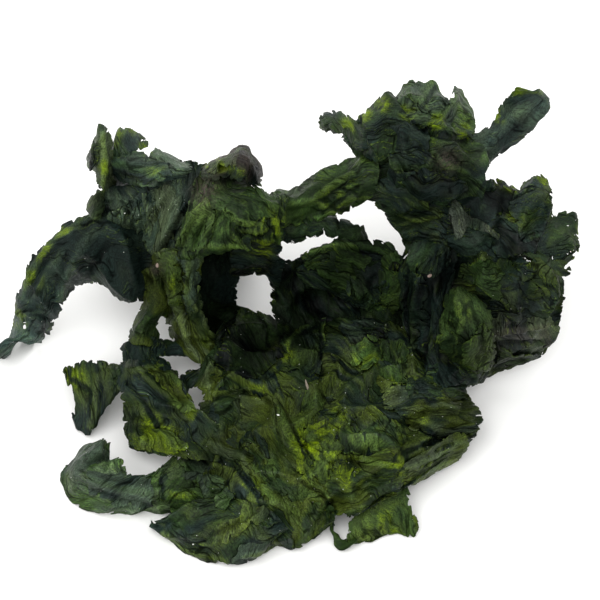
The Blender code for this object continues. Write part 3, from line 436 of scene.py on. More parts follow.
# layers of blade dried onto a blade inside a drawn outline, with their own creases and tones
laps = {
    "broad_sheet": [
        {"outline": [(-25.75, -15.5), (-21.75, -9), (-16, -1.5), (-9.5, -3.25), (-4.25, -5.5), (-4, -12),
            (-9.5, -18.5), (-16, -18.5), (-22, -19)],
            "tones": ("ink", "moss", "fern"), "flow": 30, "crumple": 0.8, "olive": 0.3},
        {"outline": [(-27, -17.25), (-24.25, -15), (-21, -16), (-19.5, -21.5), (-22.5, -24.75),
            (-26, -22.5)],
            "tones": ("olive", "moss", "stone"), "flow": 0, "crumple": 0.5, "gap": 0.8},
        {"outline": [(-26.5, -27), (-21.25, -23.5), (-13.25, -22.5), (-7, -25.5), (-5, -29.5),
            (-9.5, -36.5), (-14.25, -41.5), (-21.5, -40.25), (-29, -37.5), (-31, -33)],
            "tones": ("olive", "moss", "stone"), "flow": 60, "crumple": 0.28, "gap": 0.6, "olive": 0.5},
        {"outline": [(-9.5, -43.5), (-12.75, -38), (-8.75, -31.25), (-4, -25), (2, -22), (7.75, -19.25),
            (5.5, -26.5), (1.75, -33), (0.5, -37.5), (7.75, -49.25), (0, -50.5), (-7, -47.5)],
            "tones": ("olive", "moss", "leaf"), "flow": 20, "crumple": 0.35, "gap": 0.6, "olive": 0.6},
        {"outline": [(-1, -33), (3, -30.75), (9, -32.5), (10.5, -37), (7.5, -42.5), (3.75, -45.5),
            (-0.25, -45), (0.25, -37.5)],
            "tones": ("leaf", "moss", "olive"), "crumple": 0.9, "bright": 0.25, "gap": 1.0,
            "creases": 1.5},
        {"outline": [(-0.75, -45), (11.5, -41), (22, -38.75), (25.5, -43), (22, -50), (13, -53.25),
            (8, -54), (2.25, -49.5)],
            "tones": ("moss", "olive", "leaf"), "crumple": 0.5, "bright": 0.04, "gap": 0.5, "flow": 70},
        {"outline": [(19.25, -21), (24, -22.5), (29, -24.75), (39, -24.75), (40.75, -28), (45.25, -31),
            (42.5, -34.5), (35, -35), (29.5, -32.5), (24.75, -30.25), (22, -25.5)],
            "tones": ("olive", "slate", "stone"), "flow": 80, "crumple": 0.35, "gap": 0.8, "olive": 0.4},
        {"outline": [(9.5, -33.5), (12.5, -29.5), (19, -27.5), (24, -30.5), (26, -35), (23.5, -38.75),
            (16.5, -39.75), (11, -38)],
            "tones": ("olive", "moss", "leaf"), "crumple": 0.6, "gap": 0.6, "bright": 0.14, "flow": 40},
        {"outline": [(21, -11), (26.75, -10.75), (27, -18), (24.25, -23), (20, -20)],
            "tones": ("fern", "moss", "leaf"), "flow": 0, "crumple": 0.6, "gap": 0.7, "bright": 0.15},
        {"outline": [(-22, -42.5), (-15, -41), (-9.25, -47), (-8, -53.75), (-15, -56), (-22, -54.5),
            (-24.75, -48.5)],
            "tones": ("slate", "moss", "olive"), "flow": 10, "crumple": 0.9, "gap": 0.7},
        {"outline": [(-10, -43.5), (0, -45), (7.75, -50), (9, -55), (3, -60), (-1, -62.5), (-3.75, -58),
            (-7.5, -53), (-9.5, -47.5)],
            "tones": ("olive", "moss", "leaf"), "flow": 30, "crumple": 0.3, "gap": 0.4},
        {"outline": [(-4.25, -11.5), (-0.25, -6.5), (6.5, -4), (5.25, -15), (3.25, -21.5), (0, -18.5),
            (-2.75, -15.5)],
            "tones": ("moss", "slate", "leaf"), "flow": 0, "crumple": 0.6, "gap": 0.7, "olive": 0.6},
        {"outline": [(12.5, 0), (18.5, 0.5), (22, -5), (21.5, -10.5), (13, -11), (11, -5.5)],
            "tones": ("ink", "slate", "ash"), "crumple": 1.4, "gap": 0.5, "creases": 1.6},
        {"outline": [(26.25, -20), (34, -21), (40.5, -20), (42.5, -24), (32.5, -24.5), (27, -23.5)],
            "tones": ("moss", "slate", "fern"), "crumple": 0.8, "gap": 0.8, "flow": 80},
        {"outline": [(13, -11.25), (19, -11), (20.5, -15.5), (16.5, -18.5), (12.5, -16.5)],
            "tones": ("fern", "moss", "leaf"), "crumple": 0.9, "gap": 0.9, "bright": 0.3, "light": 1.3},
    ],
    "shoulder": [
        {"outline": [(-48.25, 21.5), (-44, 24.5), (-39.75, 22.75), (-39.75, 18.5), (-42.5, 16),
            (-45.75, 18.25)],
            "tones": ("ash", "ash", "stone"), "crumple": 0.25, "gap": 0.7},
        {"outline": [(-37.5, 27.5), (-31.25, 28.5), (-28.75, 23.75), (-31, 12.5), (-35.5, 9.5),
            (-38.5, 15), (-36, 21.5)],
            "tones": ("stone", "ash", "slate"), "crumple": 0.5, "gap": 0.5, "flow": 75},
    ],
    "curly_lobe": [
        {"outline": [(-23.75, 25), (-19.5, 31), (-13.5, 30), (-8, 26.5), (-6, 21.5), (-12.5, 19.5),
            (-19.5, 21.5)],
            "tones": ("fern", "moss", "leaf"), "crumple": 1.0, "gap": 0.7, "flow": 30},
        {"outline": [(-29.5, 13.75), (-27.5, 21.25), (-23.5, 25), (-20.5, 21.5), (-23.5, 16), (-26.5, 12)],
            "tones": ("leaf", "fern", "moss"), "crumple": 0.5, "gap": 0.8, "flow": 70},
    ],
    "hooked_lip": [
        {"outline": [(-14, 36.25), (-12, 35), (-10, 31.25), (-10.25, 27.75), (-12.5, 28.25),
            (-13.5, 31.25), (-15.5, 33)],
            "tones": ("ink", "slate", "umber"), "crumple": 0.3, "gap": 0.5},
        {"outline": [(-24, 32.5), (-19.75, 35.5), (-15, 37.75), (-11.75, 35.75), (-13.5, 34), (-17.5, 34),
            (-21.5, 31.75)],
            "tones": ("umber", "stone", "ash"), "crumple": 0.3, "gap": 0.6, "curl": 1.2},
    ],
    "upright_leaf": [
        {"outline": [(-52, 39.25), (-50.5, 40.25), (-49.75, 37.5), (-50, 34.25), (-51, 32.5), (-52, 35)],
            "tones": ("ink", "slate", "moss"), "crumple": 0.2, "gap": 0.7, "tear": 0.4},
    ],
    "collar": [
        {"outline": [(-47.5, 35), (-42.5, 37), (-37.5, 35), (-33, 32), (-35, 29), (-40.5, 30),
            (-45.5, 32)],
            "tones": ("slate", "ash", "fern"), "curl": 0.2, "crumple": 0.12, "gap": 0.7, "flow": 10},
    ],
    "crown_front": [
        {"outline": [(9, 39.25), (12.5, 44), (21.25, 50), (26, 50.75), (29, 47), (35.25, 44.5),
            (43.5, 42.75), (42.5, 40), (35, 42), (28, 44), (23.75, 47.5), (16.5, 42.5), (12, 39.5)],
            "tones": ("moss", "slate", "fern"), "crumple": 0.6, "gap": 1.3, "curl": 1.4, "bright": 0.04},
        {"outline": [(16, 41.5), (23.5, 46.5), (32.5, 43), (33, 35), (25, 33), (18, 35)],
            "tones": ("slate", "moss", "ash"), "crumple": 0.6, "gap": 0.5},
        {"outline": [(23.75, 31.25), (32.5, 32.5), (40, 30.5), (44.5, 29.5), (40.5, 25.5), (30, 26)],
            "tones": ("slate", "ink", "moss"), "crumple": 0.5, "gap": 0.7},
    ],
    "crown_top": [
        {"outline": [(25.5, 51), (27.5, 53.5), (34, 54.5), (36.5, 50), (35, 45.5), (29.5, 47.5)],
            "tones": ("ash", "fern", "leaf"), "crumple": 0.35, "gap": 0.5, "flow": 40},
    ],
    "right_crest": [
        {"outline": [(36.25, 23.5), (38.25, 24.75), (40.75, 22.25), (45, 19.5), (50.5, 16), (50, 14.75),
            (44.5, 17.5), (41.5, 19.5), (40.5, 16.75), (37.5, 15.25), (36.5, 19.5)],
            "tones": ("pale", "ash", "slate"), "light": 0.7, "crumple": 0.15, "gap": 0.7, "tear": 0.2,
            "flow": 60},
        {"outline": [(53, 27.5), (58, 31), (62.5, 30.5), (62.5, 23.75), (61, 17), (55, 15), (52, 21)],
            "tones": ("slate", "moss", "olive"), "light": 0.85, "crumple": 0.4, "gap": 0.8, "flow": 0},
        {"outline": [(35, 28.5), (45, 29.5), (53, 27), (53.5, 18.75), (45, 20), (38, 24.5)],
            "tones": ("ink", "slate", "slate"), "crumple": 0.3, "gap": 0.4},
    ],
    "right_blade": [
        {"outline": [(41.5, 9.5), (48, 11), (50, 6.25), (49, 0), (44.5, 3), (41.5, 5)],
            "tones": ("fern", "moss", "leaf"), "crumple": 0.7, "gap": 0.9},
        {"outline": [(50, 9.5), (60, 9.5), (65, 7), (65.5, 0), (57.5, -2), (50, 0)],
            "tones": ("moss", "slate", "olive"), "crumple": 0.4, "gap": 0.5, "flow": 90},
        {"outline": [(45.5, -6.5), (50, -2.75), (54, -5.5), (60, -4), (64.5, -6), (62.75, -11.25),
            (57.5, -9.5), (52, -13), (49, -10)],
            "tones": ("slate", "stone", "umber"), "crumple": 0.8, "gap": 0.7, "flow": 75, "creases": 1.6},
        {"outline": [(50, -11.25), (57.5, -12.5), (60, -14), (53.75, -16.5), (49, -16)],
            "tones": ("moss", "slate", "fern"), "crumple": 0.7, "gap": 0.7},
    ],
    "bright_leaf": [
        {"outline": [(42.5, -10), (46, -5.5), (48.5, -12.5), (48, -17), (43.5, -18), (41, -14)],
            "tones": ("leaf", "fern", "moss"), "crumple": 0.4, "gap": 0.8, "bright": 0.1},
    ],
    "column": [
        {"outline": [(26, 13), (31, 15), (36.5, 16), (37.5, 11), (34, 7), (28.5, 8)],
            "tones": ("moss", "slate", "fern"), "crumple": 0.5, "gap": 0.7},
        {"outline": [(25.5, 2.5), (29, 7.5), (32, 2.5), (31, -7.5), (28, -19.5), (25.5, -10)],
            "tones": ("slate", "ink", "moss"), "crumple": 0.4, "gap": 0.7},
    ],
    "folded_leaf": [
        {"outline": [(-36, -15.5), (-32, -17), (-28.5, -23.5), (-25.5, -28), (-29, -28.25), (-33.5, -23),
            (-37.5, -18.5)],
            "tones": ("olive", "leaf", "fern"), "crumple": 0.2, "gap": 0.5, "bright": 0.1, "flow": 0},
        {"outline": [(-41, -37.5), (-37.5, -32.5), (-33.5, -33), (-27.5, -37.5), (-30, -38.25),
            (-37.5, -37.75)],
            "tones": ("olive", "leaf", "leaf"), "crumple": 0.25, "gap": 0.5, "bright": 0.4},
    ],
    "bottom_lobe": [
        {"outline": [(-23.5, -60), (-21.5, -56.75), (-15, -55), (-9.5, -52), (-8, -53.25), (-12.5, -57),
            (-18.5, -60.25), (-22, -61.5)],
            "tones": ("olive", "moss", "stone"), "crumple": 0.4, "gap": 0.9, "flow": 90},
        {"outline": [(-15, -61.25), (-9.5, -60), (-4, -58.75), (-5.5, -62), (-12.5, -65), (-16, -65)],
            "tones": ("moss", "ash", "olive"), "light": 0.9, "crumple": 0.35, "gap": 0.5, "flow": 90},
    ],
    "lower_left_arm": [
        {"outline": [(-52, -43), (-45, -42.5), (-37.5, -44.5), (-37.5, -50), (-47, -50.5), (-52, -47.5)],
            "tones": ("ash", "slate", "moss"), "crumple": 0.5, "gap": 0.7, "flow": 90},
        {"outline": [(-34.5, -45), (-27.5, -44.5), (-24, -48.75), (-25, -53.75), (-31, -52.5),
            (-34.5, -49.5)],
            "tones": ("fern", "slate", "moss"), "crumple": 0.7, "gap": 0.7},
    ],
    "middle_flap": [
        {"outline": [(0, 10.5), (5, 13.5), (12, 15), (16, 9.5), (12.5, 2.5), (5, 7)],
            "tones": ("moss", "fern", "leaf"), "crumple": 0.5, "gap": 0.7},
        {"outline": [(21, 9.5), (24.5, 12), (27, 9.5), (25.5, 0), (22.5, -4), (20.5, 2.5)],
            "tones": ("fern", "moss", "leaf"), "crumple": 0.5, "gap": 0.8, "bright": 0.1},
    ],
    "pillar": [
        {"outline": [(-34.5, 12.5), (-30, 13.5), (-30.5, 6.25), (-29, 0), (-32, 1), (-34.5, 7)],
            "tones": ("olive", "leaf", "moss"), "crumple": 0.4, "gap": 0.7, "bright": 0.08},
        {"outline": [(-29.5, 12.5), (-25, 12), (-25.5, 0), (-27.5, -5), (-29, 2.5)],
            "tones": ("slate", "ash", "moss"), "crumple": 0.4, "gap": 0.5},
    ],
}

# single long folds: the points they run through, half their width, and how far they stand up or sink
folds = {
    "broad_sheet": [
        ([(-8, -21.5), (-4, -27.5), (-0.5, -35), (3, -42.5), (8.5, -50.5)], 0.6, -0.6),
        ([(-9.5, -21), (-5.5, -27.5), (-2, -35), (1.5, -43)], 1.5, 0.4),
        ([(-30.5, -37), (-23.75, -38.5), (-16, -41.5), (-11, -47.5), (-7.5, -54)], 1.3, -1.5),
        ([(-30, -35), (-22.5, -36.5), (-14.5, -39.5), (-9.5, -45), (-6, -51.25)], 1.8, 1.1),
        ([(-4, -12.5), (0, -7.5), (7.5, -3), (13, -1.5)], 1.2, 1.2),
        ([(25, -30), (31.25, -32.5), (35.5, -35)], 1.2, -1.4),
        ([(25, -28), (35, -26.5), (40, -27)], 1.0, 0.8),
        ([(4.5, -4.5), (5.5, -11.25), (4.5, -18)], 0.8, -1.0),
        ([(7.5, -38.75), (13, -39.5), (20, -41), (25, -42)], 1.2, 1.3),
        ([(-1, -45), (5, -48), (8.5, -53)], 1.0, -1.2),
        ([(25.5, -38.75), (30, -36.5), (36.25, -34.5), (41.25, -33.5)], 1.2, -1.6),
        ([(-22, -25), (-15, -23), (-9.5, -24), (-5.5, -27.5)], 1.2, -1.0),
    ],
    "shoulder": [
        ([(-34.5, 24.5), (-35.5, 18.5), (-37.5, 12)], 1.0, -1.2),
        ([(-30.5, 26), (-33, 18.5), (-35, 11)], 1.4, 1.2),
        ([(-27, 27), (-30, 19.5), (-33.5, 12.5)], 1.1, -1.3),
        ([(-39.5, 27), (-37.5, 22), (-38.5, 16)], 1.2, 0.9),
        ([(-45, 25), (-42, 21.5), (-41.5, 17)], 0.9, -0.9),
    ],
    "curly_lobe": [
        ([(-25, 24.5), (-28.5, 18), (-32, 12)], 1.3, 1.4),
        ([(-21.5, 23.5), (-25.5, 17), (-27.5, 12)], 1.0, -1.2),
        ([(-19.5, 22.5), (-15, 19.5), (-9.5, 19)], 1.0, 1.2),
        ([(-18, 19.5), (-15, 16), (-9.5, 15.5), (-6, 18.5)], 1.0, -1.2),
        ([(-27.5, 14), (-20, 13.5), (-12.5, 13.5), (-6.5, 15)], 1.2, 1.2),
    ],
    "left_arm": [
        ([(-50.5, 18.5), (-55, 12.5), (-58.5, 5), (-61, -2.5)], 2.0, 0.8),
        ([(-60, 15), (-65, 7.5), (-68, 0)], 1.6, -0.8),
        ([(-47.5, 15), (-51, 9.5), (-53.5, 5)], 1.6, -0.8),
        ([(-55, 19), (-62.5, 14), (-67, 7.5), (-69.5, 0)], 1.4, 0.9),
    ],
    "collar": [
        ([(-47, 33), (-41, 30.5), (-35, 29)], 1.2, -0.8),
        ([(-47, 34.5), (-41, 32.5), (-34, 31)], 1.6, 0.5),
    ],
    "right_arm": [
        ([(42.5, 35.5), (50, 42.5), (57.5, 50)], 2.0, 0.4),
        ([(45, 34.5), (53, 41.5), (60, 48.5)], 1.6, -0.35),
    ],
    "right_blade": [
        ([(47.5, -7.5), (55, -6.5), (62.5, -5.5)], 1.0, 1.1),
        ([(48, -10), (55, -10), (61.5, -9.5)], 1.0, -1.1), ([(50, 2.5), (57.5, 4), (64, 3)], 1.2, -1.0),
    ],
    "bright_leaf": [
        ([(38.75, 1), (40.5, -5), (39, -11.25)], 1.2, 0.9),
        ([(42.5, 0), (44.5, -6.25), (45.5, -12.5)], 1.0, -0.9),
        ([(37, -11), (40, -5), (42.5, 0)], 1.0, -0.6),
    ],
    "column": [
        ([(27.5, 9.5), (26.5, 0), (27.5, -12.5)], 1.0, -1.4),
        ([(30, 7.5), (29, -2.5), (29, -15)], 1.0, 1.2), ([(33, 5), (32, -5), (31, -15)], 1.0, -1.2),
    ],
    "crown_front": [
        ([(10, 40), (15.5, 45), (23.75, 49.5)], 1.4, 1.4),
        ([(25, 50), (31.25, 44.5), (42.5, 41.5)], 1.4, 1.4),
        ([(25, 47), (31.25, 42), (42, 39.5)], 1.2, -1.6), ([(18, 37.5), (23, 32), (25, 27.5)], 1.1, -1.0),
        ([(32.5, 37.5), (36.25, 33.75), (42.5, 32)], 1.1, 1.0),
    ],
    "crown_top": [
        ([(30, 47), (32.5, 50.5), (34, 53.5)], 1.0, -0.9), ([(35, 45.5), (37, 48), (39.5, 52)], 1.2, 1.0),
    ],
    "neck": [
        ([(23, 25), (28, 23.5), (35, 24)], 0.9, -1.1), ([(24.5, 21.5), (29.5, 20), (35.5, 21)], 0.9, 1.0),
    ],
    "folded_leaf": [
        ([(-43.5, -20), (-39.5, -25), (-35, -33)], 1.2, -1.0),
        ([(-40, -18), (-35, -23), (-29.5, -27.5)], 1.4, 1.1),
        ([(-42.5, -18), (-37.5, -17), (-33.5, -16.5)], 1.2, 1.0),
    ],
    "bottom_lobe": [
        ([(-22.5, -58.75), (-16.25, -56.5), (-9.5, -52)], 1.0, -1.3),
        ([(-35, -58), (-27.5, -63), (-17.5, -65.5)], 1.4, 1.0),
        ([(-15, -64), (-9.5, -62.5), (-4, -59.5)], 1.0, 1.0),
    ],
    "bottom_flag": [
        ([(13.75, -55), (17, -59)], 1.0, -0.4), ([(19.5, -53), (21, -58.5)], 1.2, 0.4),
        ([(24.5, -51.25), (26, -58.75)], 1.0, -0.4),
    ],
    "olive_strip": [
        ([(26, -42.5), (32.5, -39.5), (40.5, -35)], 1.0, 0.6),
        ([(27.5, -44.5), (35, -40.5), (41, -37.5)], 0.8, -0.6),
    ],
    "upright_leaf": [([(-49.75, 25), (-49, 32.5), (-49.25, 42.5)], 0.9, 0.9)],
    "twisted_flag": [
        ([(-57, -19.5), (-52.5, -23), (-52, -31.25)], 1.2, -1.2),
        ([(-50.5, -18), (-51, -25), (-52.5, -32.5)], 1.4, 1.2),
    ],
    "lower_left_arm": [
        ([(-55, -43.5), (-47.5, -46.5), (-37.5, -48), (-25, -49)], 1.4, 1.4),
        ([(-52.5, -47), (-42.5, -50), (-35, -51)], 1.0, -1.2), ([(-35, -44.5), (-34, -50)], 0.9, -1.2),
    ],
    "pillar": [
        ([(-29.5, 12.5), (-30, 2.5), (-27, -10), (-23.75, -14.5)], 1.0, -1.3),
        ([(-32, 11), (-32, 2.5), (-29, -7.5), (-27.5, -13)], 1.2, 1.2),
    ],
    "upper_bridge": [
        ([(-4.5, 23.75), (3, 25), (13.75, 32)], 1.3, 1.2),
        ([(-2.5, 19.5), (7.5, 23), (15, 28.5)], 1.0, -1.1),
    ],
    "middle_flap": [
        ([(0, 11), (7.5, 13.5), (15, 13.5), (23.75, 11)], 1.2, 1.2),
        ([(13, 9.5), (16.5, 3), (21, -1.25)], 1.2, -1.3),
    ],
}

# holes and bays in the outline, and the blades they are cut from (none named is all)
bites = [
    (("tuft",), [(-42.75, 44.5), (-36, 44.5), (-36, 40.25), (-39, 40), (-41, 41.25)]),
    (("tuft",), [(-48, 43.5), (-45.75, 43), (-46, 40), (-47.75, 39.25)]),
    (("hooked_lip", "curly_lobe"), [(-13.25, 29), (-10, 28.75), (-6, 27.5), (-7.5, 26), (-10.5, 27.25)]),
    (("left_arm",), [(-69.25, 2.5), (-68.75, 6.5), (-67.5, 9.5), (-66, 11.5), (-63.5, 14), (-60.5, 17),
        (-57.25, 19.75), (-52.5, 21), (-53, 23.5), (-65, 22.5), (-71.75, 9.5), (-72, 2.5)]),
    (("left_arm",), [(-69, -10.75), (-65, -10.25), (-62.5, -8), (-60.5, -10), (-65, -13), (-68.5, -13)]),
    (("left_tongue",), [(4, 42.5), (7.5, 42.25), (11.25, 41.5), (13.5, 40), (11.25, 38.5), (4.5, 40)]),
    (("left_tongue",), [(3, 47.5), (6.25, 48.5), (11.25, 47.75), (15.5, 45.5), (15, 48.75), (7.5, 50),
        (2.5, 49.5)]),
    (("upper_bridge",), [(-2.5, 28.5), (2, 31), (7, 33), (13.5, 35.75), (11.25, 38.5), (-0.5, 33.5)]),
    (("hooked_lip",), [(-24, 29.5), (-19.5, 30.75), (-16, 30.5), (-13.25, 29.5), (-12, 26.5), (-24, 26)]),
    (("upright_leaf",), [(-53.5, 32.5), (-51.25, 32), (-50.75, 27.5), (-50.75, 26), (-53.5, 26)]),
    (("right_ruffle",), [(62.25, 24.5), (65.25, 24.5), (64.25, 19.25)]),
    (("right_ruffle",), [(65.75, 25.5), (69.25, 25.5), (66.5, 18.5)]),
    (("right_ruffle",), [(73, 18.5), (66.5, 16), (73, 14.25)]),
    (("right_ruffle",), [(73, 13), (65.75, 11.75), (73, 9.5)]),
    ((), [(-16, 5.5), (-9.5, 6.5), (-6.5, 3), (-7.25, -1), (-5.25, -4.5), (-9.5, -3.25), (-16, -1.75)]),
    ((), [(-5.75, 10.75), (-4.25, 13.75), (0, 14.75), (5.5, 17), (9, 15), (5, 13), (1.75, 11.75),
        (-1.5, 9.5), (-4.5, 10)]),
    ((), [(8.25, 21.25), (13, 23), (17, 24.25), (20.25, 22.5), (23, 18.5), (26.25, 13.5), (26, 10.75),
        (24.25, 10.75), (23, 13.75), (18, 14.75), (16.25, 18), (12, 19.75), (9.25, 20.5)]),
    ((), [(-36.75, -6.75), (-34.5, -3.5), (-33.25, -4.25), (-32.5, -9), (-34.25, -10.25)]),
    ((), [(-34.75, -14), (-29, -14.25), (-28.25, -15.75), (-30.25, -17.5), (-32.25, -16.75)]),
    ((), [(-28.75, -22.75), (-25.75, -20.75), (-22.5, -24.75), (-25.75, -26.75)]),
    ((), [(8, -53.5), (12.5, -52.75), (12.5, -55.25), (11, -60.5), (8.75, -58)]),
    ((), [(53.75, 11.25), (56.5, 11.75), (59.75, 9.75), (56.5, 8.25)]),
    ((), [(-50, 29.75), (-49.5, 29), (-49.75, 26.5), (-50.25, 27.5)]),
    ((), [(49.25, 21.75), (50, 22.25), (50.25, 21.25), (49.5, 20.75)]),
    ((), [(-69.5, -7), (-68.5, -6.25), (-68.25, -7), (-69.25, -7.5)]),
    ((), [(-42, 37), (-37.5, 35.75), (-36, 37.5), (-37.5, 43), (-38.5, 38.5), (-41, 37.25)]),
    ((), [(35.25, 52.5), (37, 49.25), (38.5, 50.25), (38.75, 53.5), (35.75, 55.5)]),
    ((), [(44, -22), (45, -24.75), (43.25, -26), (43.5, -27.75), (45.5, -26.25), (50, -25), (50, -20)]),
    ((), [(46, -29.5), (44, -33), (42.5, -35.5), (42, -39), (47.5, -35), (47.5, -30)]),
    ((), [(27.25, -47), (26.75, -51), (27.5, -54), (29.25, -54.25), (32, -53.5), (32, -47)]),
    ((), [(-62.5, -46), (-58.5, -49.5), (-54, -52.25), (-45, -53.5), (-35.5, -53.75), (-37.5, -57.5),
        (-60, -57.5)]),
    ((), [(46, 29.75), (49.25, 30), (51.75, 28.75), (54.5, 27.25), (57, 29.75), (55, 33.75), (46, 33.75)]),
    ((), [(66, 6), (65.5, 0), (64.75, -5), (63.5, -9.25), (60.75, -13), (65, -15.5), (71.25, -10),
        (71.25, 6)]),
    ((), [(-27.5, -66.5), (-23.5, -65.25), (-16, -65.75), (-10.5, -64.25), (-9.5, -70), (-27.5, -70)]),
    (("folded_leaf", "twisted_flag"), [(-44.75, -22), (-48, -26.25), (-52, -34), (-47.5, -35),
        (-43.75, -35), (-44.25, -25)]),
    (("twisted_flag",), [(-60, -21), (-57, -21), (-55.75, -26.25), (-57.25, -30), (-60, -30)]),
    (("left_back",), [(-50, 8), (-39, 8), (-42, 16), (-50, 20)]),
    (("left_back",), [(-32, 12), (-27.5, 12), (-30.5, 22)]),
    (("left_back",), [(-17, 8), (-8, 8), (-8, 20), (-12, 18)]),
    (("right_back",), [(26, 10), (34, 10), (31, 20), (26, 23)]),
    (("right_back",), [(41.5, 14), (45.5, 14), (43.5, 26)]),
    (("right_back",), [(53, 8), (62, 8), (62, 21), (57, 19)]),
]


def linear(hexColour):  # an sRGB hex colour as linear RGBA
    parts = [int(hexColour[k : k + 2], 16) / 255 for k in (1, 3, 5)]
    return [c / 12.92 if c <= 0.04045 else ((c + 0.055) / 1.055) ** 2.4 for c in parts] + [1.0]


def seen(across, up, height):  # the point at this height that shows at (across, up)
    onPicture = view["middle"] + across * rightward + up * pictureUp
    ray = onPicture - eye
    return eye + ray * (height - eye[2]) / ray[2]


def picturePlace(points):  # where points show, as (across, up)
    ray = points - eye
    nearer = view["distance"] / -(ray @ toViewer)
    return (ray @ rightward) * nearer, (ray @ pictureUp) * nearer


def smoothRun(points, knots, u):  # a Catmull-Rom curve through the points, which stand at the knots
    if points.ndim == 2:
        points = np.broadcast_to(points[:, None, None], (len(points), *u.shape, 3))
    padded = np.concatenate([2 * points[:1] - points[1:2], points, 2 * points[-1:] - points[-2:-1]])
    k = np.clip(np.searchsorted(knots, u, side="right") - 1, 0, len(points) - 2)
    t = ((u - knots[k]) / (knots[k + 1] - knots[k]))[..., None]
    before, here, there, after = (
        np.take_along_axis(padded, (k + i)[None, ..., None], axis=0)[0] for i in range(4)
    )
    slopeHere, slopeThere = (there - before) / 2, (after - here) / 2
    rise = there - here
    return (
        here
        + slopeHere * t
        + (3 * rise - 2 * slopeHere - slopeThere) * t**2
        + (slopeHere + slopeThere - 2 * rise) * t**3
    )


def knotsThrough(points, axis):  # where rows of points stand along an axis, 0 to 1, and its length
    steps = np.linalg.norm(np.diff(points, axis=axis), axis=2).mean(axis=1 - axis)
    places = np.concatenate([[0.0], np.cumsum(steps)])
    return places / places[-1], places[-1]


def waves(rng, spacing, *places):  # smooth uneven waves, with crests about one spacing apart
    total = 0.0
    for _ in range(5):
        heading = rng.uniform(0, 2 * math.pi)
        pitch = spacing * rng.uniform(0.7, 1.5)
        start = rng.uniform(0, 2 * math.pi)
        along = places[0] if len(places) == 1 else (
            places[0] * math.cos(heading) + places[1] * math.sin(heading)
        )
        total = total + np.sin(2 * math.pi * along / pitch + start)
    return total / 2.4


def unit(vectors):
    return vectors / np.maximum(np.linalg.norm(vectors, axis=-1, keepdims=True), 1e-9)


def gridNormals(grid):
    normals = unit(np.cross(np.gradient(grid, axis=0), np.gradient(grid, axis=1)))
    return normals * np.sign((normals @ toViewer).mean())


def netOf(spec):  # a blade's stations as points in space
    return np.array([[seen(*corner) for corner in row] for row in spec["stations"]])


def bladeSurface(spec, order, u, v):
    # the blade's middle surface at a grid of (u, v), with the solid's torn outline and folds
    net = netOf(spec)
    knotsAlong, length = knotsThrough(net, 0)
    knotsAcross, width = knotsThrough(net, 1)
    rng = np.random.default_rng(order)
    s, t = u * length, v * width
    torn = [waves(rng, solidSheet["tornSpacing"], s) * solidSheet["tornDepth"] / width for _ in range(2)]
    v = v * (1 + torn[0]) + (1 - v) * torn[1]
    torn = [
        waves(rng, solidSheet["tornSpacing"], v * width) * solidSheet["tornDepth"] / length
        for _ in range(2)
    ]
    u = u * (1 + torn[0]) + (1 - u) * torn[1]
    rails = np.array([smoothRun(net[:, k], knotsAlong, u) for k in range(net.shape[1])])
    sheet = smoothRun(rails, knotsAcross, v)
    sheet = sheet + spec["belly"] * (4 * v * (1 - v))[..., None] * toViewer
    widthHere = np.linalg.norm(np.diff(rails, axis=0), axis=-1).sum(axis=0)
    s, t = u * length, v * width
    rim = np.clip(np.maximum(np.abs(2 * v - 1), np.abs(2 * u - 1)), 0, 1) ** 3
    crease = 1 - 2 * np.abs(waves(rng, solidSheet["foldSpacing"], s, t))
    wave = waves(rng, solidSheet["foldSpacing"], s, t * 0.4)
    lift = spec["fold"] * crease + spec["ruffle"] * rim * wave
    facing = gridNormals(sheet)
    facing = facing + rim[..., None] * (toViewer - facing)
    sheet = sheet + lift[..., None] * facing
    toRim = rimDistance(u * length, (1 - u) * length, v * widthHere, (1 - v) * widthHere)
    return {"points": sheet, "facing": unit(facing), "s": s, "t": t, "toRim": toRim}


def rimDistance(start, end, left, right):  # how far inside the outline, with its corners rounded
    along, aside = np.minimum(start, end), np.minimum(left, right)
    r = fineSheet["cornerRound"]
    square = np.minimum(along, aside)
    rounded = r - np.hypot(np.maximum(r - along, 0), np.maximum(r - aside, 0))
    return np.where((along < r) & (aside < r), rounded, square)


def noiseOf(seed):  # smooth gradient noise in two dimensions, about -1 to 1, one cell a unit
    angle = np.random.default_rng(seed).uniform(0, 2 * math.pi, (64, 64))
    slopeX, slopeY = np.cos(angle), np.sin(angle)

    def noise(x, y):
        i, j = np.floor(x).astype(int), np.floor(y).astype(int)
        fx, fy = x - i, y - j

        def corner(a, b):
            where = (i + a) % 64, (j + b) % 64
            return slopeX[where] * (fx - a) + slopeY[where] * (fy - b)

        sx = fx**3 * (fx * (6 * fx - 15) + 10)
        sy = fy**3 * (fy * (6 * fy - 15) + 10)
        low = corner(0, 0) + sx * (corner(1, 0) - corner(0, 0))
        high = corner(0, 1) + sx * (corner(1, 1) - corner(0, 1))
        return 1.5 * (low + sy * (high - low))

    return noise


softBands = [  # across a soft fold, how many times longer it is along, how deep, how narrow
    (12.0, 1.6, 0.36, 0.6),
    (5.0, 2.2, 0.1, 0.5),
]
sharpCreases = [  # square millimetres for each, shortest and longest, half the width, depth
    (130.0, 12.0, 30.0, 1.4, 0.5),
    (24.0, 5.0, 16.0, 0.7, 0.26),
    (6.0, 3.0, 10.0, 0.42, 0.17),
]


def roofs(noise, x, y, narrow):  # sharp roofs along the noise's zero lines, flat between
    return np.clip(1 - np.sqrt(noise(x, y) ** 2 + 0.0004) / narrow, 0, 1)


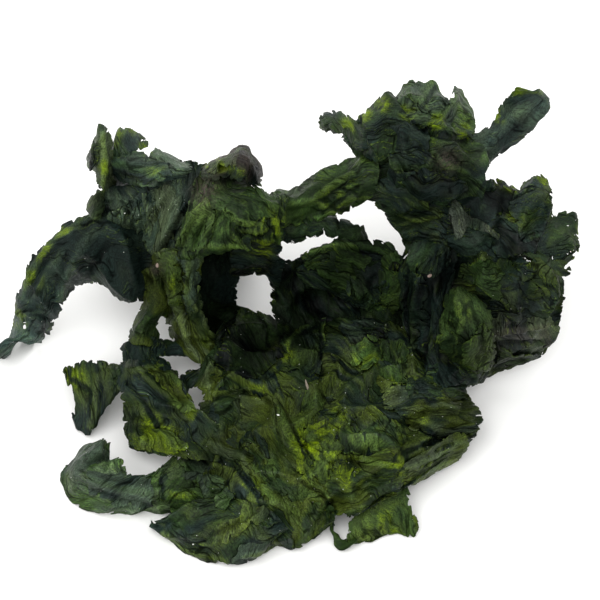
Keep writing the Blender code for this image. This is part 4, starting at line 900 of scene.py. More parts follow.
def grainOf(s, t, seed, look):  # the blade's coordinates along and across its creases, bent as they are
    turn = math.radians(look["flow"])
    along = s * math.cos(turn) + t * math.sin(turn)
    aside = t * math.cos(turn) - s * math.sin(turn)
    bend = noiseOf(seed * 31 + 7)
    warp = look["warp"]
    return (
        along + warp * bend(along / 15 + 30, aside / 15 + 11),
        aside + warp * bend(along / 15, aside / 15) + warp / 3 * bend(along / 5 + 9, aside / 5),
    )


def crumple(along, aside, s, t, seed, look):
    # the creases of a sheet that shrank as it dried: soft folds along the grain, and straight sharp
    # creases that lie in bundles, tight in some places and sparse in others
    bend = noiseOf(seed * 31 + 7)
    tight = np.clip(0.85 + 1.5 * bend(along / 17 + 40, aside / 17 + 3), 0.2, 1.8)
    lift = np.zeros(s.shape)
    for band, (across, longer, depth, narrow) in enumerate(softBands):
        x, y = along / across / longer, aside / across
        upward = roofs(noiseOf(seed * 31 + 11 + band), x, y, narrow)
        downward = roofs(noiseOf(seed * 31 + 17 + band), x + 5, y + 5, narrow)
        lift += depth * (upward - 0.8 * downward)
    rng = np.random.default_rng(seed * 31 + 23)
    low, high = (s.min(), t.min()), (s.max(), t.max())
    area = (high[0] - low[0]) * (high[1] - low[1])
    alongGrid, asideGrid = s[:, s.shape[1] // 2], t[t.shape[0] // 2]
    for each, shortest, longest, half, depth in sharpCreases:
        for _ in range(round(look["creases"] * area / each)):
            x, y = rng.uniform(low[0], high[0]), rng.uniform(low[1], high[1])
            swing = bend(np.array([x / 19 + 50]), np.array([y / 19]))[0]
            heading = math.radians(look["flow"]) + 1.6 * swing + rng.normal(0, 0.22)
            reach = rng.uniform(shortest, longest) / 2
            height = depth * rng.uniform(0.5, 1.2) * rng.choice([1.0, -0.9])
            lean = rng.choice([-1, 1]) * rng.uniform(0.3, 0.85)  # one side of a crease is steeper
            rows = slice(*np.searchsorted(alongGrid, [x - reach - half, x + reach + half]))
            columns = slice(*np.searchsorted(asideGrid, [y - reach - half, y + reach + half]))
            ds, dt = s[rows, columns] - x, t[rows, columns] - y
            ahead = ds * math.cos(heading) + dt * math.sin(heading)
            beside = dt * math.cos(heading) - ds * math.sin(heading) + 0.04 * lean * ahead**2 / half**0.5
            flank = np.abs(beside) / (half * (1 + lean * np.sign(beside)))
            ends = np.clip(1 - (ahead / reach) ** 2, 0, 1)
            lift[rows, columns] += height * ends * np.clip(1 - flank, 0, 1) * tight[rows, columns]
    return lift


def tear(s, t, seed):  # how far the torn rim lies outside (+) or inside (-) the outline
    wide, fine, slit = (noiseOf(seed * 53 + k) for k in (1, 2, 3))
    edge = 0.6 * wide(s / 7, t / 7)
    for noise, spacing, depth in ((wide, 3.4, 1.0), (fine, 1.5, 0.55), (slit, 0.8, 0.25)):
        edge = edge + depth * (0.3 - np.abs(noise(s / spacing + 9, t / spacing)))
    slits = np.clip((roofs(slit, s / 6.0, t / 6.0, 0.25) - 0.6) / 0.4, 0, 1)
    return edge + 0.25 - 1.6 * slits


def insideOf(outline, across, up):  # how far inside a closed outline, below 0 outside it
    nearest = np.full(across.shape, 1e9)
    within = np.zeros(across.shape, dtype=bool)
    for (ax, ay), (bx, by) in zip(outline, outline[1:] + outline[:1]):
        ex, ey = bx - ax, by - ay
        share = np.clip(((across - ax) * ex + (up - ay) * ey) / (ex * ex + ey * ey), 0, 1)
        nearest = np.minimum(nearest, np.hypot(across - ax - share * ex, up - ay - share * ey))
        within ^= ((ay > up) != (by > up)) & (across < ax + ex * (up - ay) / (ey or 1e-9))
    return np.where(within, nearest, -nearest)


def foldsAt(lines, across, up):  # the lift of single folds drawn through points, lowest at their ends
    lift = np.zeros(across.shape)
    for points, half, height in lines:
        steps = np.hypot(*np.diff(np.array(points, dtype=float), axis=0).T)
        nearest, place, gone = np.full(across.shape, 1e9), np.zeros(across.shape), 0.0
        for (ax, ay), (bx, by), step in zip(points, points[1:], steps):
            share = ((across - ax) * (bx - ax) + (up - ay) * (by - ay)) / step**2
            share = np.clip(share, 0, 1)
            away = np.hypot(across - ax - share * (bx - ax), up - ay - share * (by - ay))
            place = np.where(away < nearest, gone + share * step, place)
            nearest = np.minimum(nearest, away)
            gone += step
        ends = np.sqrt(np.clip(np.sin(math.pi * place / gone), 0, 1))
        lift += height * ends * np.clip(1 - nearest / half, 0, 1) ** 1.2
    return lift


def bittenOff(name, field, across, up):  # less of the blade where it has a hole or a bay
    for names, outline in bites:
        if not names or name in names:
            field = np.minimum(field, -insideOf(outline, across, up))
    return field


def softened(values, cells):  # a box blur, twice each way
    for _ in range(2):
        for axis in (0, 1):
            padding = [(cells + 1, cells) if k == axis else (0, 0) for k in (0, 1)]
            sums = np.cumsum(np.pad(values, padding, "edge"), axis)
            size = values.shape[axis]
            after = np.take(sums, range(2 * cells + 1, 2 * cells + 1 + size), axis)
            values = (after - np.take(sums, range(size), axis)) / (2 * cells + 1)
    return values


def gridFaces(rows, columns):
    number = np.arange(rows * columns).reshape(rows, columns)
    a, b = number[:-1, :-1].ravel(), number[1:, :-1].ravel()
    c, d = number[1:, 1:].ravel(), number[:-1, 1:].ravel()
    return np.concatenate([np.stack([a, b, c], 1), np.stack([a, c, d], 1)])


def clipped(values, faces, field):
    # the part of a mesh where the field is above zero, cut cleanly through its triangles
    inside = field[faces] > 0
    count = inside.sum(axis=1)
    whole = faces[count == 3]
    made = [whole]
    fresh = []
    for want in (1, 2):
        part = faces[count == want]
        mark = inside[count == want]
        odd = mark if want == 1 else ~mark
        first = odd.argmax(axis=1)
        rowsOf = np.arange(len(part))
        a, b, c = (part[rowsOf, (first + k) % 3] for k in range(3))
        fresh.append((want, a, b, c))
    pairs = [pair for _, a, b, c in fresh for pair in ((a, b), (a, c))]
    edges = np.concatenate([np.sort(np.stack(pair, 1), axis=1) for pair in pairs])
    unique, back = np.unique(edges, axis=0, return_inverse=True)
    share = field[unique[:, 0]] / (field[unique[:, 0]] - field[unique[:, 1]])
    share = np.clip(share, 0.02, 0.98)[:, None]
    cuts = values[unique[:, 0]] * (1 - share) + values[unique[:, 1]] * share
    back = back.ravel() + len(values)
    at = 0
    for want, a, b, c in fresh:
        ab = back[at : at + len(a)]
        ac = back[at + len(a) : at + 2 * len(a)]
        at += 2 * len(a)
        if want == 1:
            made.append(np.stack([a, ab, ac], 1))
        else:
            made.append(np.stack([ab, b, c], 1))
            made.append(np.stack([ab, c, ac], 1))
    faces = np.concatenate(made)
    values = np.concatenate([values, cuts])
    used, faces = np.unique(faces, return_inverse=True)
    return values[used], faces.reshape(-1, 3)


def largestPart(values, faces, least=0.06):  # drops the scraps that tearing cut loose
    label = np.arange(len(values))
    while True:
        low = label[faces].min(axis=1)
        new = label.copy()
        for k in range(3):
            np.minimum.at(new, faces[:, k], low)
        new = new[new]
        if (new == label).all():
            break
        label = new
    ids, counts = np.unique(label[faces[:, 0]], return_counts=True)
    keep = ids[counts > least * counts.max()]
    faces = faces[np.isin(label[faces[:, 0]], keep)]
    used, faces = np.unique(faces, return_inverse=True)
    return values[used], faces.reshape(-1, 3)


def thickened(values, faces):
    # a closed thin shell round a sheet: two faces and the wall along the rims
    points = values[:, :3]
    corners = [points[faces[:, k]] for k in range(3)]
    across = np.cross(corners[1] - corners[0], corners[2] - corners[0])
    normals = np.zeros_like(points)
    for k in range(3):
        np.add.at(normals, faces[:, k], across)
    half = unit(normals) * fineSheet["thickness"] / 2
    upper, lower = values.copy(), values.copy()
    upper[:, :3] += half
    lower[:, :3] -= half
    n = len(values)
    ends = np.concatenate([faces[:, [0, 1]], faces[:, [1, 2]], faces[:, [2, 0]]])
    key = np.sort(ends, axis=1)
    _, index, counts = np.unique(key, axis=0, return_inverse=True, return_counts=True)
    rims = ends[counts[index.ravel()] == 1]
    a, b = rims[:, 0], rims[:, 1]
    walls = np.concatenate([np.stack([b, a, a + n], 1), np.stack([b, a + n, b + n], 1)])
    return np.concatenate([upper, lower]), np.concatenate([faces, faces[:, ::-1] + n, walls])


def makePiece(name, values, faces, material):
    mesh = bpy.data.meshes.new(name)
    mesh.vertices.add(len(values))
    mesh.vertices.foreach_set("co", ((values[:, :3] - settled) * mm).astype(np.float32).ravel())
    mesh.loops.add(3 * len(faces))
    mesh.loops.foreach_set("vertex_index", faces.astype(np.int32).ravel())
    mesh.polygons.add(len(faces))
    mesh.polygons.foreach_set("loop_start", np.arange(0, 3 * len(faces), 3, dtype=np.int32))
    mesh.update(calc_edges=True)
    for attribute, first in (("tint", 3), ("marks", 7)):
        layer = mesh.attributes.new(attribute, "FLOAT_COLOR", "POINT")
        colours = np.clip(values[:, first : first + 4], 0, 1).astype(np.float32)
        layer.data.foreach_set("color", colours.ravel())
    grain = mesh.attributes.new("grain", "FLOAT_VECTOR", "POINT")
    grain.data.foreach_set("vector", values[:, 11:14].astype(np.float32).ravel())
    mesh.shade_smooth()
    mesh.materials.append(material)
    piece = bpy.data.objects.new(name, mesh)
    bpy.context.scene.collection.objects.link(piece)
    return piece


# the painted shade and light there, from the patches
def paintedShadeAt(across, up):  # how light the blade is there, 1 where nothing changes it
    shade = np.ones(across.shape)
    for x, y, r, factor in paintedShadeAndLightPatches:
        shade *= 1 + (factor - 1) * np.exp(-((((across - x) ** 2 + (up - y) ** 2) / r**2) ** 1.5))
    return shade


def spots(across, up, table):  # how strong the table's patches are there
    most = np.zeros(across.shape)
    for x, y, r, strength in table:
        most = np.maximum(most, strength * np.exp(-(((across - x) ** 2 + (up - y) ** 2) / r**2)))
    return most


def ramp(value, low, high):  # 0 below low, 1 above high, smooth between
    x = np.clip((value - low) / (high - low), 0, 1)
    return x * x * (3 - 2 * x)


def paintOf(surface, points, lift, toRim, seed, look):
    # tint: the colour with its painted shade and light, and how light it is; marks: how yellow-green, the
    # height in the creases, the distance to a rim, and how brown; grain: the place along and across the
    # creases
    across, up = picturePlace(points)
    along, aside = surface["along"], surface["aside"]
    blotch, streak = noiseOf(seed * 31 + 41), noiseOf(seed * 31 + 43)
    streaks = 0.5 * streak(along / 7, aside / 1.6) + 0.5 * streak(along / 4 + 7, aside / 0.8)
    ridge = (lift - softened(lift, 3)) / 0.2  # above 0 on ridges, below in gutters
    patchy = blotch(along / 4.5, aside / 3.5)
    wide = blotch(along / 12 + 3, aside / 10)
    first, second, third = (np.array(linear(toneColours[name])[:3]) for name in look["tones"])
    share = ramp(wide + 0.45 * patchy + 0.25 * streaks, -0.35, 0.35)[..., None]
    tint = first + share * (second - first)
    patched = blotch(along / 8 + 20, aside / 6 + 4) + 0.5 * ridge + 0.3 * streaks
    share = look["olive"] * ramp(patched, -0.1, 0.6)
    tint = tint + share[..., None] * (third - tint)
    bright = look["patches"] * spots(across, up, brightPatches)
    sure = np.clip(bright - 0.8, 0, 1)  # a strong patch shows even where the streaks leave gaps
    bright = np.maximum(bright * ramp(0.4 * streaks + 0.7 * patchy + 0.4 * ridge, -0.3, 0.4), sure)
    scattered = ramp(0.3 * streaks + patchy + 0.5 * wide + 0.3 * ridge, 0.25, 0.8)
    bright = np.maximum(bright, look["bright"] * scattered)
    brown = look["patches"] * spots(across, up, brownPatches)
    # painted shade and light: the blade's light and the drawn patches, with darker gutters and lighter
    # ridges in its creases; wide and patchy add its own uneven tone
    light = look["light"] * (paintedShadeAt(across, up) if look["patches"] else 1.0)
    light = light * (1 + 0.14 * wide + 0.06 * patchy + 0.12 * np.clip(ridge, -1, 1))
    tint = tint * light[..., None]
    marks = [0.5 * light, bright, 0.5 + 0.5 * ridge, toRim / 4, brown, along, aside, seed * 7.3]
    marks = np.stack([np.broadcast_to(value, across.shape) for value in marks], axis=-1)
    return np.concatenate([tint, marks], axis=-1)


# where the blade shows yellow-green, its own colour in most patches and painted light along the lit top
# rim of the left arm; and where it went brown: (across, up, radius, strength)
brightPatches = [
    (4, -36.5, 5, 1.0), (8, -31, 2.5, 0.6), (12, -43, 4, 0.5), (24, -42, 3, 0.5), (16.5, -14.5, 3, 0.7),
    (10, -28, 2.5, 0.5), (24, -20, 3, 0.3), (-10, -22, 3, 0.3), (31, -30, 2, 0.25), (-4, -14, 4, 0.35),
    (-27, -28.5, 1.8, 0.8), (-36, -35.5, 5, 1.0), (22, -57, 6, 0.3), (29, -55, 3, 0.3),
    (-67, 5, 2.4, 0.6), (-64, 12, 2.4, 0.6), (-59, 17, 2.2, 0.55), (-53, 20, 2.2, 0.4),
    (-71, -4, 3, 0.55), (-57, -19, 3, 0.7), (-58, -13.5, 2, 0.6), (-45.5, 41.7, 1.3, 0.9),
    (-42, 42.5, 1.3, 0.7), (-38.5, 38, 1.6, 0.9), (-46.5, 39.5, 1.2, 0.8), (-49.6, 33.2, 1.6, 1.5),
    (-36, 33, 2.5, 0.3), (12, 43.5, 1.6, 1.15), (16, 46.5, 1.6, 1.2), (21, 49, 1.6, 1.15),
    (27, 47, 1.6, 1.1), (34, 44.5, 1.6, 1.1), (41, 42, 1.6, 1.1), (60.5, 30.5, 2.0, 1.5),
    (53.5, 28.5, 1.5, 1.4), (57.5, 28, 1.5, 0.6), (50.5, 29.5, 1.5, 0.5), (54, 20.5, 2.4, 0.4),
    (55, 52, 1.8, 1.3), (59, 53, 2, 0.5), (49.5, 46, 1.5, 1.2), (71, 10, 2.4, 0.7), (70, 17, 1.6, 0.4),
    (-19.5, 33.2, 1.2, 1.5), (-17.2, 32.2, 1.2, 1.7), (-15, 31.6, 1.2, 1.7), (-23.2, 34.4, 1.1, 1.5),
    (-20.8, 35.5, 1.0, 1.6), (-18.6, 36.9, 0.9, 1.4), (-12, 17, 5, 0.12), (-7, 19, 3, 0.6),
    (-9.5, 14, 3, 0.5), (-31, 4, 2.4, 0.4), (8, 25, 3, 0.3), (41, -3, 3, 0.15), (47, -14, 2.5, 0.3),
    (34, -47, 2, 0.4), (-12, -47, 3, 0.35), (-30, -48, 3, 0.3),
]
brownPatches = [
    (-24, 27.5, 4, 1.0), (-13, 35.5, 2.2, 0.6), (37, 35, 3, 0.8), (54, -9, 8, 0.2), (-36, 8, 1.5, 0.8),
]


# painted shade and painted light: below 1 it darkens the caves, deep folds and faces that lie in shadow,
# above 1 it lightens places that are lit more and paler in tone: (across, up, radius, factor)
paintedShadeAndLightPatches = [
    (3, -14, 20, 0.75), (-10, -10, 9, 0.42), (-11, -12.5, 6, 0.45), (0, -10, 8, 0.5), (0, -31, 8, 0.66),
    (15, 8, 9, 0.34), (4, 2, 9, 0.6), (-37, 2, 7, 0.5), (-36, -8, 7, 0.7), (-24, -6, 5, 0.6),
    (-30, 8, 7, 0.72), (42, -6, 16, 0.62), (46, -14, 8, 0.62), (40, -30, 7, 0.55), (28, -38, 5, 0.7),
    (20, -9, 6, 0.6), (28, 0, 6, 0.4), (37, 7.5, 6, 0.35), (55, 4, 9, 0.62), (28, 38, 12, 0.6),
    (28, 24, 6, 0.62), (12, 25, 6, 0.62), (30, 20, 8, 0.75), (45, 25, 7, 0.6), (-38, -28, 11, 0.66),
    (-24, -40, 9, 0.62), (-17, -35, 5, 0.75), (-22, 16, 12, 0.88), (10, -52, 5, 0.85), (36, -34, 6, 0.8),
    (-16, -58, 6, 0.8), (20, -55, 9, 0.85), (-49, 12, 8, 0.58), (-41, 10, 5, 0.75), (-45, 30, 4, 0.35),
    (-43.5, 39.5, 2.0, 0.55), (-51.9, 36, 1.7, 0.4), (-50.6, 27, 2.2, 0.5), (-48.6, 24, 2, 0.6),
    (-51.5, 23, 3, 0.42), (-11.3, 32, 2.4, 0.45), (-18.5, 30.6, 2.0, 0.5), (-11, 29.5, 2, 0.6),
    (-16, 29.8, 2, 0.5), (-33, 31, 11, 1.45), (-70, -11, 6, 3.0), (-46, -46, 12, 1.35),
    (-31, -60, 6, 1.5), (62, 50, 6, 1.7), (50, 38, 5, 1.3), (60, 13, 8, 1.25), (61, 29, 5, 1.3),
    (53, 18, 5, 1.3), (31, 49, 8, 1.2), (20, 35, 4, 1.4), (9, 46, 5, 1.4), (4, 18.5, 6, 1.5),
    (-4, 20, 5, 0.62), (-38, 6, 5, 0.75), (2, 10.5, 3, 1.5), (-9, 10, 4, 1.5), (23, 7, 3, 1.5),
    (12, -1, 4, 1.6), (16, -14.5, 3.5, 1.9), (-20, -13, 4, 1.5), (-22, -28, 6, 1.3), (10, -40, 6, 0.75),
    (-10, -30, 7, 0.72), (18, 9, 6, 0.75), (41, 36, 4, 0.72), (17.5, -35, 4, 1.8), (-5, -14, 4, 1.9),
    (43, 19.5, 2.5, 0.55), (23.7, -16, 3, 1.4), (-27.5, 4, 3, 1.25), (-15, -49, 4, 1.25),
    (30, -29, 5, 0.74), (12.5, -42.5, 4, 0.75), (-30, -47, 4, 0.8), (5, 27.5, 5, 0.8),
    (-25, -57, 4, 0.82), (-19, -39, 6, 0.75), (27, -36, 5, 0.8), (-70, 0, 6, 1.25), (-60, 0, 5, 1.25),
    (-30, 29, 4, 1.25), (57.5, 30, 4, 1.25), (-40, -40, 5, 1.3), (-40, -50, 5, 1.25), (-27, 9, 4, 1.35),
    (-7, -12, 4, 2.0), (-34, -56, 4, 1.3), (44, -29, 3, 1.4), (17, -2, 4, 1.3), (20, 34, 3, 1.3),
    (-7, -45, 4, 1.3), (16, -45, 4, 1.35), (-39, -24, 5, 1.3), (-44, 41, 3.5, 1.5), (-12, -60, 7, 1.25),
    (-4, -55, 7, 1.05),
]


def sheetValues(surface, seed, look, gap=0.0, share=1.0, lines=()):
    # the surface crumpled, folded and fluttering at its rims, and how far it was lifted
    s, t, toRim = surface["s"], surface["t"], surface["toRim"]
    surface["along"], surface["aside"] = grainOf(s, t, seed, look)
    lift = share * look["crumple"] * crumple(surface["along"], surface["aside"], s, t, seed, look)
    lift = lift + foldsAt(lines, *picturePlace(surface["points"]))
    flutter = noiseOf(seed * 31 + 29)
    rim = np.exp(-np.maximum(toRim, 0) / fineSheet["flutterReach"])
    spacing = fineSheet["flutterSpacing"]
    fluttered = flutter(s / spacing, t / spacing)
    standing = lift + gap + fineSheet["flutter"] * look["tear"] * rim * fluttered
    drag = noiseOf(seed * 31 + 37)
    aside = unit(np.cross(surface["facing"], rightward))
    points = surface["points"] + standing[..., None] * surface["facing"]
    x, y = s / fineSheet["dragSpacing"], t / fineSheet["dragSpacing"]
    points = points + fineSheet["drag"] * drag(x, y)[..., None] * aside
    points = points + fineSheet["drag"] * drag(x + 20, y)[..., None] * rightward
    return points, lift


def sizeOf(spec):  # a blade's length and width
    net = netOf(spec)
    return knotsThrough(net, 0)[1], knotsThrough(net, 1)[1]


def tornSheet(surface, points, lift, field, seed, look):  # what is left inside the torn rim
    rows, columns = field.shape
    paint = paintOf(surface, points, lift, np.maximum(field, 0), seed, look)
    values = np.concatenate([points, paint], axis=-1).reshape(rows * columns, -1)
    values, faces = clipped(values, gridFaces(rows, columns), field.ravel())
    return largestPart(values, faces) if len(faces) > 20 else None


def partOf(spec, order, look, low, high):  # the blade's surface between two places on it
    length, width = sizeOf(spec)
    rows = max(4, round((high[0] - low[0]) / look["cell"]) + 1)
    columns = max(4, round((high[1] - low[1]) / look["cell"]) + 1)
    u, v = np.meshgrid(
        np.linspace(low[0], high[0], rows) / length,
        np.linspace(low[1], high[1], columns) / width,
        indexing="ij",
    )
    return bladeSurface(spec, order, u, v)


lapSheets = {  # how a drawn layer lies on its blade
    "wander": 1.3,  # how far its outline strays from the drawn one, and how far apart
    "wanderSpacing": 6.0,
    "tear": 1.5,
    "curlReach": 2.5,  # how far in from its rims it curls off, and how far apart
    "curlSpacing": 7.0,
    "hidden": 3.5,  # nothing of the blade is kept farther in under it than this
    "flattened": 0.85,  # how much less the blade is crumpled under it, from so far in
    "flatFrom": 2.0,
    "follows": 0.15,  # how much of the blade's own crumple shows through it
}


def keepOver(points, lowest, order):  # nothing sinks into the table
    points[..., 2] = np.maximum(points[..., 2], lowest + solidSheet["floorStep"] * (order % 6))


def baseSheet(name, spec, order, look):  # the blade itself, with its rims torn
    length, width = sizeOf(spec)
    margin = look["margin"]
    surface = partOf(spec, order, look, (-margin, -margin), (length + margin, width + margin))
    across, up = picturePlace(surface["points"])
    insideLaps = [insideOf(lap["outline"], across, up) for lap in laps.get(name, [])]
    covered = np.zeros(across.shape)
    for inside in insideLaps:
        covered = np.maximum(covered, ramp(inside, 0.0, lapSheets["flatFrom"]))
    share = 1 - lapSheets["flattened"] * covered
    points, lift = sheetValues(surface, order, look, share=share, lines=folds.get(name, []))
    keepOver(points, fineSheet["lowest"], order)
    field = surface["toRim"]
    for x, y, r, more in look["grow"]:
        field = field + more * np.exp(-(((across - x) ** 2 + (up - y) ** 2) / r**2))
    for inside in insideLaps:
        field = np.minimum(field, lapSheets["hidden"] - inside)
    field = bittenOff(name, field, across, up)
    field = field + look["tear"] * tear(surface["s"], surface["t"], order)
    return tornSheet(surface, points, lift, field, order, look)


def lapSheet(name, spec, order, number, lap, look):
    # another layer of blade dried onto this one inside a drawn outline, its rims standing off
    length, width = sizeOf(spec)
    coarse = partOf(spec, order, dict(look, cell=2.0), (0, 0), (length, width))
    near = insideOf(lap["outline"], *picturePlace(coarse["points"])) > -3
    if not near.any():
        print("no blade under lap", name, number)
        return None
    s = np.linspace(0, length, near.shape[0])[near.any(axis=1)]
    t = np.linspace(0, width, near.shape[1])[near.any(axis=0)]
    surface = partOf(spec, order, look, (s[0], t[0]), (s[-1], t[-1]))
    s, t = surface["s"], surface["t"]
    across, up = picturePlace(surface["points"])
    seed = 3000 + 97 * order + number
    look = dict(look, **{key: value for key, value in lap.items() if key != "outline"})
    swing, stray = noiseOf(seed + 1), lapSheets["wander"]
    x, y = s / lapSheets["wanderSpacing"], t / lapSheets["wanderSpacing"]
    wandered = insideOf(lap["outline"], across + stray * swing(x, y), up + stray * swing(x + 20, y))
    field = bittenOff(name, np.minimum(wandered, surface["toRim"] + 0.3), across, up)
    field = field + lapSheets["tear"] * look["tear"] * tear(s, t, seed)
    rim = np.exp(-np.maximum(field, 0) / lapSheets["curlReach"])
    surface["toRim"] = field
    own = dict(look, creases=0)
    bent = grainOf(s, t, order, own)
    under = lapSheets["follows"] * look["crumple"] * crumple(*bent, s, t, order, own)
    rising = noiseOf(seed)(s / lapSheets["curlSpacing"], t / lapSheets["curlSpacing"])
    gap = look["gap"] + look["curl"] * rim * np.clip(0.3 + rising, 0, 1) + under
    points, lift = sheetValues(surface, seed, look, gap, lines=folds.get(name, []))
    keepOver(points, fineSheet["layerLowest"], order)
    return tornSheet(surface, points, lift, field, seed, look)


scraps = {  # the torn scraps of blade dried onto a blade at places drawn by chance
    "areaEach": 420.0,  # square millimetres of blade for each
    "reach": (5.0, 12.0),  # half its length
    "slim": (0.3, 0.6),  # its width over its length
    "turn": 30.0,  # degrees either way from the blade's creases
    "creaseTurn": 40.0,
    "light": (0.8, 1.2),
    "olive": (0.4, 1.5),
    "tear": 2.2,
    "crumple": 0.8,  # its own, on top of the blade's
    "gap": 0.3,
    "curl": 1.1,  # how far the side that curls stands off
}


def tornScrap(name, spec, order, number, look):
    rng = np.random.default_rng(1000 * order + number)
    length, width = sizeOf(spec)
    reach = rng.uniform(*scraps["reach"])
    slim = rng.uniform(*scraps["slim"])
    turn = math.radians(look["flow"] + rng.uniform(-scraps["turn"], scraps["turn"]))
    middle = rng.uniform(0.1, 0.9) * length, rng.uniform(0.12, 0.88) * width
    low = [max(0.0, m - reach) for m in middle]
    high = [min(size, m + reach) for m, size in zip(middle, (length, width))]
    surface = partOf(spec, order, look, low, high)
    s, t = surface["s"], surface["t"]
    across, up = picturePlace(surface["points"])
    ds, dt = s - middle[0], t - middle[1]
    along = ds * math.cos(turn) + dt * math.sin(turn)
    aside = dt * math.cos(turn) - ds * math.sin(turn)
    own = reach * slim * (1 - np.sqrt((along / reach) ** 2 + (aside / (reach * slim)) ** 2))
    seed = 1000 + 97 * order + number
    field = bittenOff(name, np.minimum(own, surface["toRim"] + 0.3), across, up)
    field = field + scraps["tear"] * look["tear"] * tear(s, t, seed)
    lean = rng.uniform(0, 2 * math.pi)
    side = math.cos(lean) * along / reach + math.sin(lean) * aside / (reach * slim)
    curl = scraps["curl"] * rng.uniform(0.3, 1.0) * np.clip(side, 0, 1.2) ** 2
    bent = grainOf(s, t, order, look)
    under = look["crumple"] * crumple(*bent, s, t, order, dict(look, creases=0))
    surface["toRim"] = field
    turned = dict(
        look,
        flow=look["flow"] + rng.uniform(-scraps["creaseTurn"], scraps["creaseTurn"]),
        light=look["light"] * rng.uniform(*scraps["light"]),
        olive=look["olive"] * rng.uniform(*scraps["olive"]),
    )
    gap = scraps["gap"] + curl + under
    points, lift = sheetValues(surface, seed, turned, gap, scraps["crumple"])
    keepOver(points, fineSheet["layerLowest"], order)
    return tornSheet(surface, points, lift, field, seed, turned)


def addNode(tree, kind, settings=None, inputs=None):  # an input is a value, or a socket to link
    node = tree.nodes.new(kind)
    for key, value in (settings or {}).items():
        setattr(node, key, value)
    for key, value in (inputs or {}).items():
        if isinstance(value, bpy.types.NodeSocket):
            tree.links.new(value, node.inputs[key])
        else:
            node.inputs[key].default_value = value
    return node


def mixColours(tree, share, first, second):
    mix = addNode(tree, "ShaderNodeMix", {"data_type": "RGBA"}, {0: share, 6: first, 7: second})
    return mix.outputs[2]


def mathOf(tree, operation, *values):
    return addNode(tree, "ShaderNodeMath", {"operation": operation}, dict(enumerate(values))).outputs[0]


def newMaterial(name):
    material = bpy.data.materials.new(name)
    material.use_nodes = True
    return material, material.node_tree, material.node_tree.nodes["Principled BSDF"]


skin = {  # spacings in millimetres, along and across the blade's grain
    "mottle": (4, 3),
    "fibre": (6.0, 0.7),
    "speckle": (0.6, 0.5),
    "grit": (0.32, 0.22),
    "widePlate": (15.0, 2.8),
    "narrowPlate": (7.0, 1.1),
    "creased": (9.0, 6.0),  # where the wide plates show
    "wrinkled": (7.0, 5.0),  # where the narrow plates show
    "drawnOut": (10.0, 5.0),  # where the ridge lines show
    "ridgeLine": (7.0, 1.1),
    "fineLine": (4.0, 0.45),
    "squiggle": (1.6, 1.1),
    "sway": (3.0, 1.3, 0.0),  # how far the edges of the plates wander
    "relief": 0.4,
}


